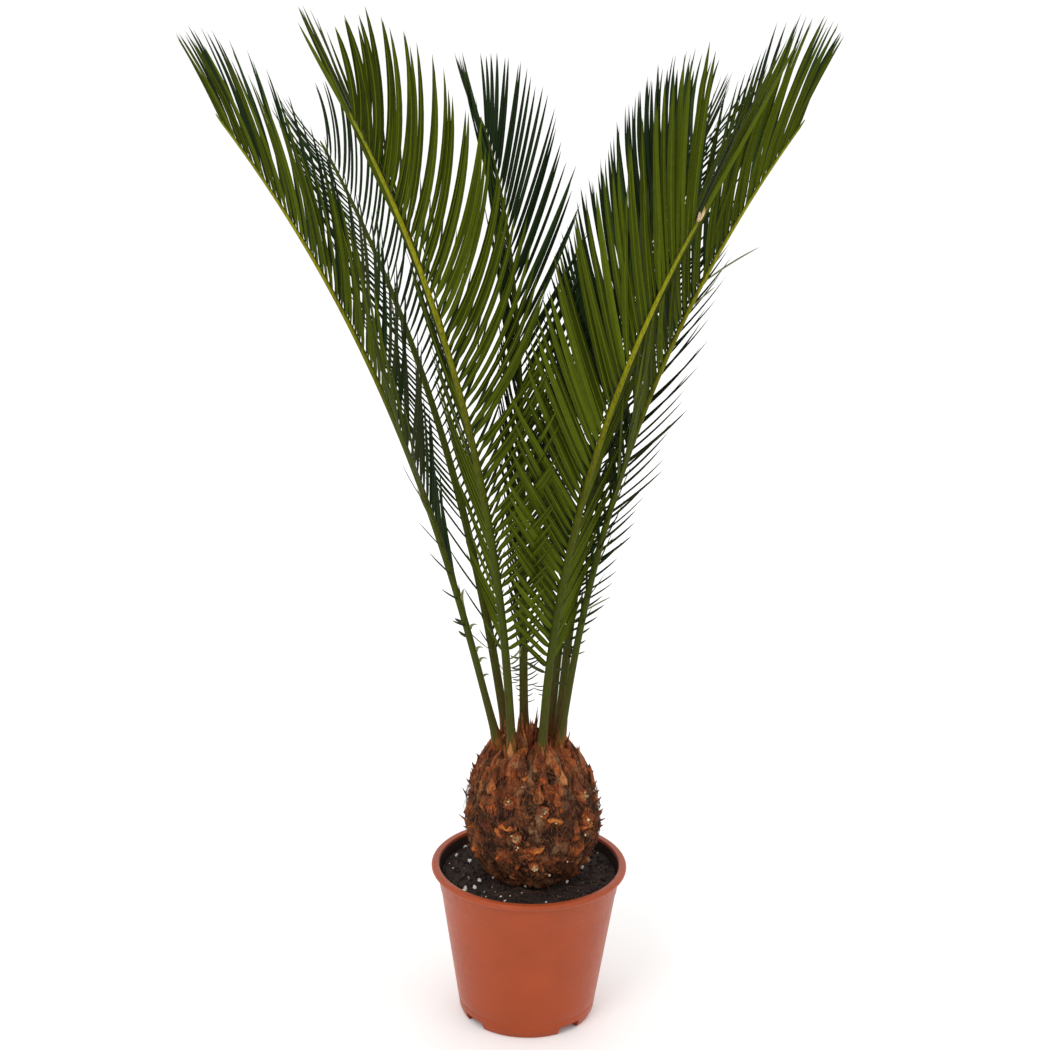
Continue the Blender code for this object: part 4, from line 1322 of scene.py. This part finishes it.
def leaflet_length(frond, share):
    """Length of a leaflet at a share of the leafy part, from its foot to its tip."""
    shortest = SHORTEST_LEAFLETS.get(frond.name, 0.14)
    grown = math.sin(0.5 * math.pi * min(1.0, share / 0.62)) ** 0.9
    grown = shortest + (1.0 - shortest) * grown
    drawn_in = 0.42 if frond.name == "frond_left" else 0.5
    drawn_in *= max(0.0, (share - 0.78) / 0.22) ** 2
    return LEAFLET_LONGEST * frond.leaf * (grown - drawn_in)


def leaflet_forward_angle(frond, share):
    """Angle between a leaflet's root and the rib, in degrees."""
    root, drop = (50.0, 31.0) if frond.name in NARROW_FRONDS else (57.0, 38.0)
    return root - drop * share ** 0.75 - 5.0 * share ** 12


def leaflet_width_share(place):
    """Width of a leaflet along its length, against its widest: a narrow foot, a long point."""
    foot = 0.32 + 0.68 * math.sin(0.5 * math.pi * min(1.0, place / 0.14))
    return foot * (1.0 - place ** 4.2) ** 0.9


def grow_leaflet(bundle, root, axes, length, width, forward, bend, twist, lift, slots):
    """One leaflet from its root on the rib; axes are along, outward and up from the blade."""
    along, outward, upward = axes
    place = root.copy()
    rings = []
    for number in range(LEAFLET_SEGMENTS):
        share = number / LEAFLET_SEGMENTS
        angle = forward + bend * (0.5 - share)
        direction = along * math.cos(angle) + outward * math.sin(angle)
        direction = (direction + upward * (lift * share)).normalized()
        flat = outward * math.cos(angle) - along * math.sin(angle)
        flat = (flat * math.cos(twist) + upward * math.sin(twist))
        flat = (flat - direction * flat.dot(direction)).normalized()
        thick = direction.cross(flat)
        if thick.dot(upward) < 0:
            thick.negate()
        half = 0.5 * width * leaflet_width_share(share)
        rings.append([place + flat * (x * half) + thick * (z * half) for x, z in LEAFLET_SECTION])
        place = place + direction * (length / LEAFLET_SEGMENTS)
    bundle.loft(rings, slots, tip=place)


def leaflet_axes(frond, share, rib_share, side, keel_shift):
    along, across, upper = rib_frame(frond, rib_share)
    raised = frond.low_keel + (1.0 - frond.low_keel) * min(1.0, share / 0.5)
    if (frond.name, side) in DROOPING_ROWS:
        raised = -0.6 + 1.6 * min(1.0, share / 0.6)
    keel = math.radians(frond.keel * raised + keel_shift)
    outward = across * (math.cos(keel) * side) + upper * math.sin(keel)
    upward = upper * math.cos(keel) - across * (math.sin(keel) * side)
    return along, outward, upward


def add_leaflets(frond, settings, materials):
    """Both rows; materials are 3 upper faces, 5 lower ones, midrib, weathered and dry face."""
    picker = random.Random(frond.name)
    points = rib_points(frond, RIB_SAMPLES)
    bundle = Bundle()
    pairs = round(settings.pairs * frond.kept)
    for pair in range(pairs):
        for side in (1, -1):
            run = (pair + 0.25 + 0.25 * side) / (pairs - 0.5)
            share = run * frond.kept
            first = LONG_PETIOLES.get(frond.name, PETIOLE_SHARE)
            rib_share = first + (LAST_LEAFLET_SHARE - first) * run
            root = points[min(RIB_SAMPLES, round(rib_share * RIB_SAMPLES))]
            axes = leaflet_axes(frond, share, rib_share, side, picker.gauss(0.0, 3.0))
            root = root + axes[1] * (0.55 * rib_radius(frond, rib_share))
            length = leaflet_length(frond, share) * picker.uniform(0.95, 1.03)
            row = (frond.name, side)
            width = settings.width * min(1.0, 0.62 + 0.65 * length / LEAFLET_LONGEST)
            width *= picker.uniform(0.88, 1.06) * frond.leaf * (1.0 - max(0.0, 0.8 * (share - 0.85)))
            if frond.name in SLIM_FRONDS:
                width *= 0.7
            else:
                width *= 0.92 + 1.5 * max(0.0, share - 0.85)
            if row in SPARSE_FOOT_ROWS and share < 0.24 and pair % 3 != 0:
                continue
            stray = picker.gauss(0.0, 5.0) if picker.random() < 0.06 else picker.gauss(0.0, 1.1)
            forward = math.radians(leaflet_forward_angle(frond, share) + stray)
            if row in FOLDED_ROWS:
                forward *= 0.55
                width *= 1.7
            if row in STEEP_FOOT_ROWS:
                forward *= 0.62 + 0.38 * min(1.0, share / 0.35)
            if row in STEEP_ROWS:
                forward *= 0.5 + 0.2 * share
            bend = settings.curve * min(1.0, 0.3 + 1.2 * share) * picker.uniform(0.88, 1.12)
            if row in STRAIGHT_ROWS:
                bend *= 0.25
                forward *= 0.92
                width *= 0.88 if frond.name == "frond_rear" else 1.06
            twist = LEAFLET_TWIST
            if row in BACK_TWISTED:
                twist *= -0.5 - min(0.9, max(0.0, 5.0 * (share - 0.55)))
            twist += math.radians(picker.gauss(0.0, 9.0))
            lift = picker.gauss(0.0, 0.03)
            pale_until = 0.6 if frond.name in ("frond_left", "frond_right") else 0.35
            upper = picker.choice((0, 0, 1, 1, 2) if share > pale_until else (1, 2, 9, 9))
            # The darker mix paints shade onto the lower faces of those fronds.
            lower = picker.choice(DARK_MIX if frond.name in DARK_FRONDS else USUAL_MIX)
            beside = min(7, max(3, lower + picker.choice((-1, 0, 1))))
            slots = [upper, upper, upper, upper, lower, 8, 8, beside]
            grow_leaflet(bundle, root, axes, length, width, forward, bend, twist, lift, slots)
    add_spines(frond, picker, points, bundle)
    finish_piece(frond.name + "_leaflets", bundle.to_bmesh(), materials, (frond.name,), 50.0)


def add_spines(frond, picker, points, bundle):
    """The lowest leaflets, thin as hairs, on the stalk, and the frond's odd leaflets."""
    count = {"frond_rear": 9, "frond_left_front": 3, "frond_right_front": 3}.get(frond.name, 0)
    for number in range(count):
        for side in (1, -1):
            share = 0.137 - 0.0091 * (count - number - 0.25 - 0.25 * side)
            axes = leaflet_axes(frond, 0.0, share, side, 0.0)
            root = points[round(share * RIB_SAMPLES)] + axes[1] * (0.8 * rib_radius(frond, share))
            length = (7.0 + 10.0 * number / count + picker.uniform(-2.0, 2.0)) * MM
            grow_leaflet(bundle, root, axes, length, (0.9 + 0.1 * number) * MM,
                         math.radians(66.0 + picker.gauss(0.0, 8.0)), math.radians(30.0),
                         0.0, 0.0, [9] * 4 + [4] * 4)
    for name, share, raised, length, forward, curl in ODD_LEAFLETS:
        if name == frond.name:
            axes = leaflet_axes(frond, 0.0, share, 1, raised)
            root = points[round(share * RIB_SAMPLES)] + axes[1] * (0.7 * rib_radius(frond, share))
            grow_leaflet(bundle, root, axes, length * MM, (2.4 + 0.02 * length) * MM,
                         math.radians(forward), math.radians(curl), 0.5, 0.0, [9] * 4 + [10] * 4)


def add_broken_tip(frond, material):
    """Dry split end of the rib whose tip has broken off."""
    points = rib_points(frond, RIB_SAMPLES)
    along, across, upper = rib_frame(frond, 1.0)
    end = points[-1]
    bundle = Bundle()
    for lean, length in ((0.55, 12.0), (-0.4, 8.0)):
        heading = (along + across * lean).normalized()
        path = [end - along * 2.0 * MM]
        for number in range(5):
            path.append(path[-1] + heading * (length * MM / 5.0))
            heading = (heading + upper * 0.12 - across * lean * 0.25).normalized()
        strand(bundle, path, 1.5 * MM, 0, sides=6)
    finish_piece("broken_frond_tip", bundle.to_bmesh(), [material], (frond.name,), 60.0)


def add_fronds(settings):
    face = tuple(settings.face_colour)
    back = tuple(settings.back_colour)
    tops = [leaf("cycad leaf, upper face, " + name, tinted(face, factor), 0.42)
            for name, factor in (("deep", 0.8), ("middle", 1.15), ("fair", 1.9))]
    steps = (("deep", 0.5), ("dark", 0.72), ("middle", 0.95), ("fair", 1.2), ("pale", 1.5))
    # Painted shade: the fronds at the back get darker, bluer copies of the lower faces.
    dull = tuple(channel * factor for channel, factor in zip(back, (0.5, 0.66, 1.6)))
    front = tops + [leaf("cycad leaf, lower face, " + name, tinted(back, factor), 0.55)
                    for name, factor in steps]
    rear = tops + [leaf("shaded cycad leaf, lower face, " + name, tinted(dull, factor), 0.55)
                   for name, factor in steps]
    weathered = leaf("cycad leaf, weathered upper face", linear_colour("#3C4226"), 0.6)
    withered = leaf("cycad leaf, dry lower face", linear_colour("#7C7F58"), 0.6)
    front += [leaf("cycad leaf, midrib", tinted(back, 1.7), 0.5), weathered, withered]
    rear += [leaf("shaded cycad leaf, midrib", tinted(dull, 1.6), 0.5), weathered, withered]
    below = stalk("cycad leaf stalk, lower side", (
        (0.0, linear_colour("#94562A")), (0.014, linear_colour("#6C4820")),
        (0.028, linear_colour("#3E3E14")), (0.1, linear_colour("#3C420E")),
        (0.25, linear_colour("#38460A")), (0.5, linear_colour("#4A5004")),
        (0.8, linear_colour("#8A880A")), (1.0, linear_colour("#7C8210"))))
    above = stalk("cycad leaf stalk, upper side", (
        (0.0, linear_colour("#7A4C26")), (0.025, linear_colour("#4E3C1C")),
        (0.12, linear_colour("#484A18")), (0.5, linear_colour("#4A5618")),
        (1.0, linear_colour("#3A4A12"))))
    for frond in FRONDS:
        add_rib(frond, [below, above])
        add_leaflets(frond, settings, rear if frond.name in REAR_FRONDS else front)
    dry = fibrous("dry broken leaf stalk", linear_colour("#7A5A3A"), linear_colour("#B0926A"),
                  linear_colour("#D8C09A"), 1.2, 3.0, 0.2)
    broken = next(frond for frond in FRONDS if frond.kept < 1.0)
    add_broken_tip(broken, dry)


# Dry scales in the middle of the crown


def add_crown_scales(material):
    picker = random.Random(64)
    low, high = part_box("crown_scales")
    middle = trunk_centre(TRUNK_HIGH.z)
    bundle = Bundle()
    for number in range(46):
        angle = number * 2.39996
        ring = 11.0 * MM * math.sqrt((number + 0.5) / 46)
        around = Vector((math.cos(angle), math.sin(angle), 0.0))
        point = Vector((middle.x, middle.y, low.z - 3.0 * MM)) + around * ring
        length = (high.z - low.z) * picker.uniform(0.5, 1.0) * (1.4 - 0.75 * ring / (11.0 * MM))
        lean = picker.uniform(0.0, 0.22)
        upward = (UP + around * lean).normalized()
        across = Vector((-around.y, around.x, 0.0))
        outward = across.cross(upward)
        outward *= math.copysign(1.0, outward.dot(around))
        rings, tip = scale_rings(point, outward, across, upward, length,
                                 picker.uniform(3.0, 5.5) * MM, 1.5 * MM, 0.4 * MM, picker)
        bundle.loft(rings, [0] * 10, tip=tip, tone=picker.gauss(0.56, 0.2))
    for frond in FRONDS:
        foot = Vector((frond.foot[0] * MM, frond.foot[1] * MM, FROND_FOOT - 4.0 * MM))
        for number in range(6):
            angle = math.tau * (number + picker.random()) / 6
            around = Vector((math.cos(angle), math.sin(angle), 0.0))
            across = Vector((-around.y, around.x, 0.0))
            upward = (rib_direction(frond, 0.0) + around * picker.uniform(-0.12, 0.1)).normalized()
            outward = upward.cross(across).normalized()
            outward *= math.copysign(1.0, outward.dot(around))
            rings, tip = scale_rings(foot + around * 5.6 * MM, outward, across, upward,
                                     picker.uniform(9.0, 25.0) * MM,
                                     picker.uniform(3.5, 6.0) * MM, 1.5 * MM, 0.3 * MM, picker)
            bundle.loft(rings, [0] * 10, tip=tip, tone=picker.gauss(0.65, 0.15))
    finish_piece("crown_bracts", bundle.to_bmesh(), [material], ("crown_scales",), 70.0)


# Stage


def add_light(name, place, target, size, power):
    light = bpy.data.lights.new(name, "AREA")
    light.shape = "DISK"
    light.size = size
    light.energy = power
    item = bpy.data.objects.new(name, light)
    item.location = place
    item.rotation_euler = (Vector(target) - Vector(place)).to_track_quat("-Z", "Y").to_euler()
    bpy.context.scene.collection.objects.link(item)


def add_stage():
    """Pale floor, soft studio light and the camera."""
    material, tree, shader = start_material("matt white studio floor")
    shader.inputs["Base Color"].default_value = (*linear_colour("#FCFCFB"), 1.0)
    shader.inputs["Roughness"].default_value = 0.95
    shader.inputs["Specular IOR Level"].default_value = 0.1
    bm = bmesh.new()
    bmesh.ops.create_circle(bm, cap_ends=True, segments=96, radius=30.0)
    mesh = bpy.data.meshes.new("studio_floor")
    bm.to_mesh(mesh)
    bm.free()
    mesh.materials.append(material)
    floor = bpy.data.objects.new("studio_floor", mesh)
    bpy.context.scene.collection.objects.link(floor)

    world = bpy.data.worlds.new("soft_studio")
    world.use_nodes = True
    background = world.node_tree.nodes["Background"]
    background.inputs["Color"].default_value = (1.0, 1.0, 1.0, 1.0)
    background.inputs["Strength"].default_value = 1.05
    bpy.context.scene.world = world
    add_light("key_light", (-1.1, -2.0, 2.6), (0.0, 0.0, 0.35), 1.3, 24.0)
    add_light("fill_light", (2.0, -1.4, 1.6), (0.0, 0.0, 0.4), 1.8, 6.0)
    add_light("back_light", (0.3, 2.2, 2.2), (0.0, 0.0, 0.5), 1.8, 6.0)

    camera = bpy.data.cameras.new("camera")
    camera.lens = 78.24
    camera.sensor_width = 36.0
    camera.clip_end = 200.0
    item = bpy.data.objects.new("camera", camera)
    tilt = Matrix.Rotation(math.radians(90.0 - 18.23), 4, "X")
    roll = Matrix.Rotation(math.radians(0.96), 4, "Z")
    item.matrix_world = Matrix.Translation((-0.0084, -1.8, 1.043)) @ tilt @ roll
    bpy.context.scene.collection.objects.link(item)
    bpy.context.scene.camera = item
    bpy.context.scene.view_settings.view_transform = "Standard"


# Operators and panel


class SAGO_OT_pot(bpy.types.Operator):
    """Add the nursery pot"""

    bl_idname = "sago.pot"
    bl_label = "Nursery Pot"

    def execute(self, context):
        add_pot(settings_of(context, "pot"))
        return {"FINISHED"}


class SAGO_OT_soil(bpy.types.Operator):
    """Add the potting soil with its crumbs, perlite and fibres"""

    bl_idname = "sago.soil"
    bl_label = "Potting Soil"

    def execute(self, context):
        add_soil(settings_of(context, "soil"))
        return {"FINISHED"}


class SAGO_OT_trunk(bpy.types.Operator):
    """Add the trunk with its leaf bases, scales and fibre"""

    bl_idname = "sago.trunk"
    bl_label = "Trunk"

    def execute(self, context):
        add_trunk(settings_of(context, "trunk"))
        return {"FINISHED"}


class SAGO_OT_crown_scales(bpy.types.Operator):
    """Add the dry scales in the middle of the crown"""

    bl_idname = "sago.crown_scales"
    bl_label = "Crown Scales"

    def execute(self, context):
        add_crown_scales(trunk_bark())
        return {"FINISHED"}


class SAGO_OT_fronds(bpy.types.Operator):
    """Add the fronds with their ribs and leaflets"""

    bl_idname = "sago.fronds"
    bl_label = "Fronds"

    def execute(self, context):
        add_fronds(settings_of(context, "fronds"))
        return {"FINISHED"}


class SAGO_OT_stage(bpy.types.Operator):
    """Add the floor, the lights and the camera"""

    bl_idname = "sago.stage"
    bl_label = "Stage"

    def execute(self, context):
        add_stage()
        return {"FINISHED"}


OPERATORS = (SAGO_OT_pot, SAGO_OT_soil, SAGO_OT_trunk, SAGO_OT_crown_scales, SAGO_OT_fronds,
             SAGO_OT_stage)


class SAGO_PT_panel(bpy.types.Panel):
    """Sizes, colours and buttons of the potted sago palm"""

    bl_idname = "SAGO_PT_panel"
    bl_label = "Sago Palm"
    bl_space_type = "VIEW_3D"
    bl_region_type = "UI"
    bl_category = "Sago Palm"

    def draw(self, context):
        layout = self.layout
        for name, group in SETTINGS:
            box = layout.box()
            box.label(text=group.__doc__)
            for prop in group.__annotations__:
                box.prop(settings_of(context, name), prop)
        for operator in OPERATORS:
            layout.operator(operator.bl_idname)


SETTINGS = (("pot", PotSettings), ("soil", SoilSettings), ("trunk", TrunkSettings),
            ("fronds", FrondSettings))
CLASSES = tuple(group for _, group in SETTINGS) + OPERATORS + (SAGO_PT_panel,)


def register():
    for item in CLASSES:
        bpy.utils.register_class(item)
    for name, group in SETTINGS:
        setattr(bpy.types.Scene, "sago_" + name, PointerProperty(type=group))


def unregister():
    for name, _ in SETTINGS:
        delattr(bpy.types.Scene, "sago_" + name)
    for item in reversed(CLASSES):
        bpy.utils.unregister_class(item)


def main():
    register()
    bpy.ops.sago.pot()
    bpy.ops.sago.soil()
    bpy.ops.sago.trunk()
    bpy.ops.sago.crown_scales()
    bpy.ops.sago.fronds()
    bpy.ops.sago.stage()


if __name__ == "__main__":
    main()
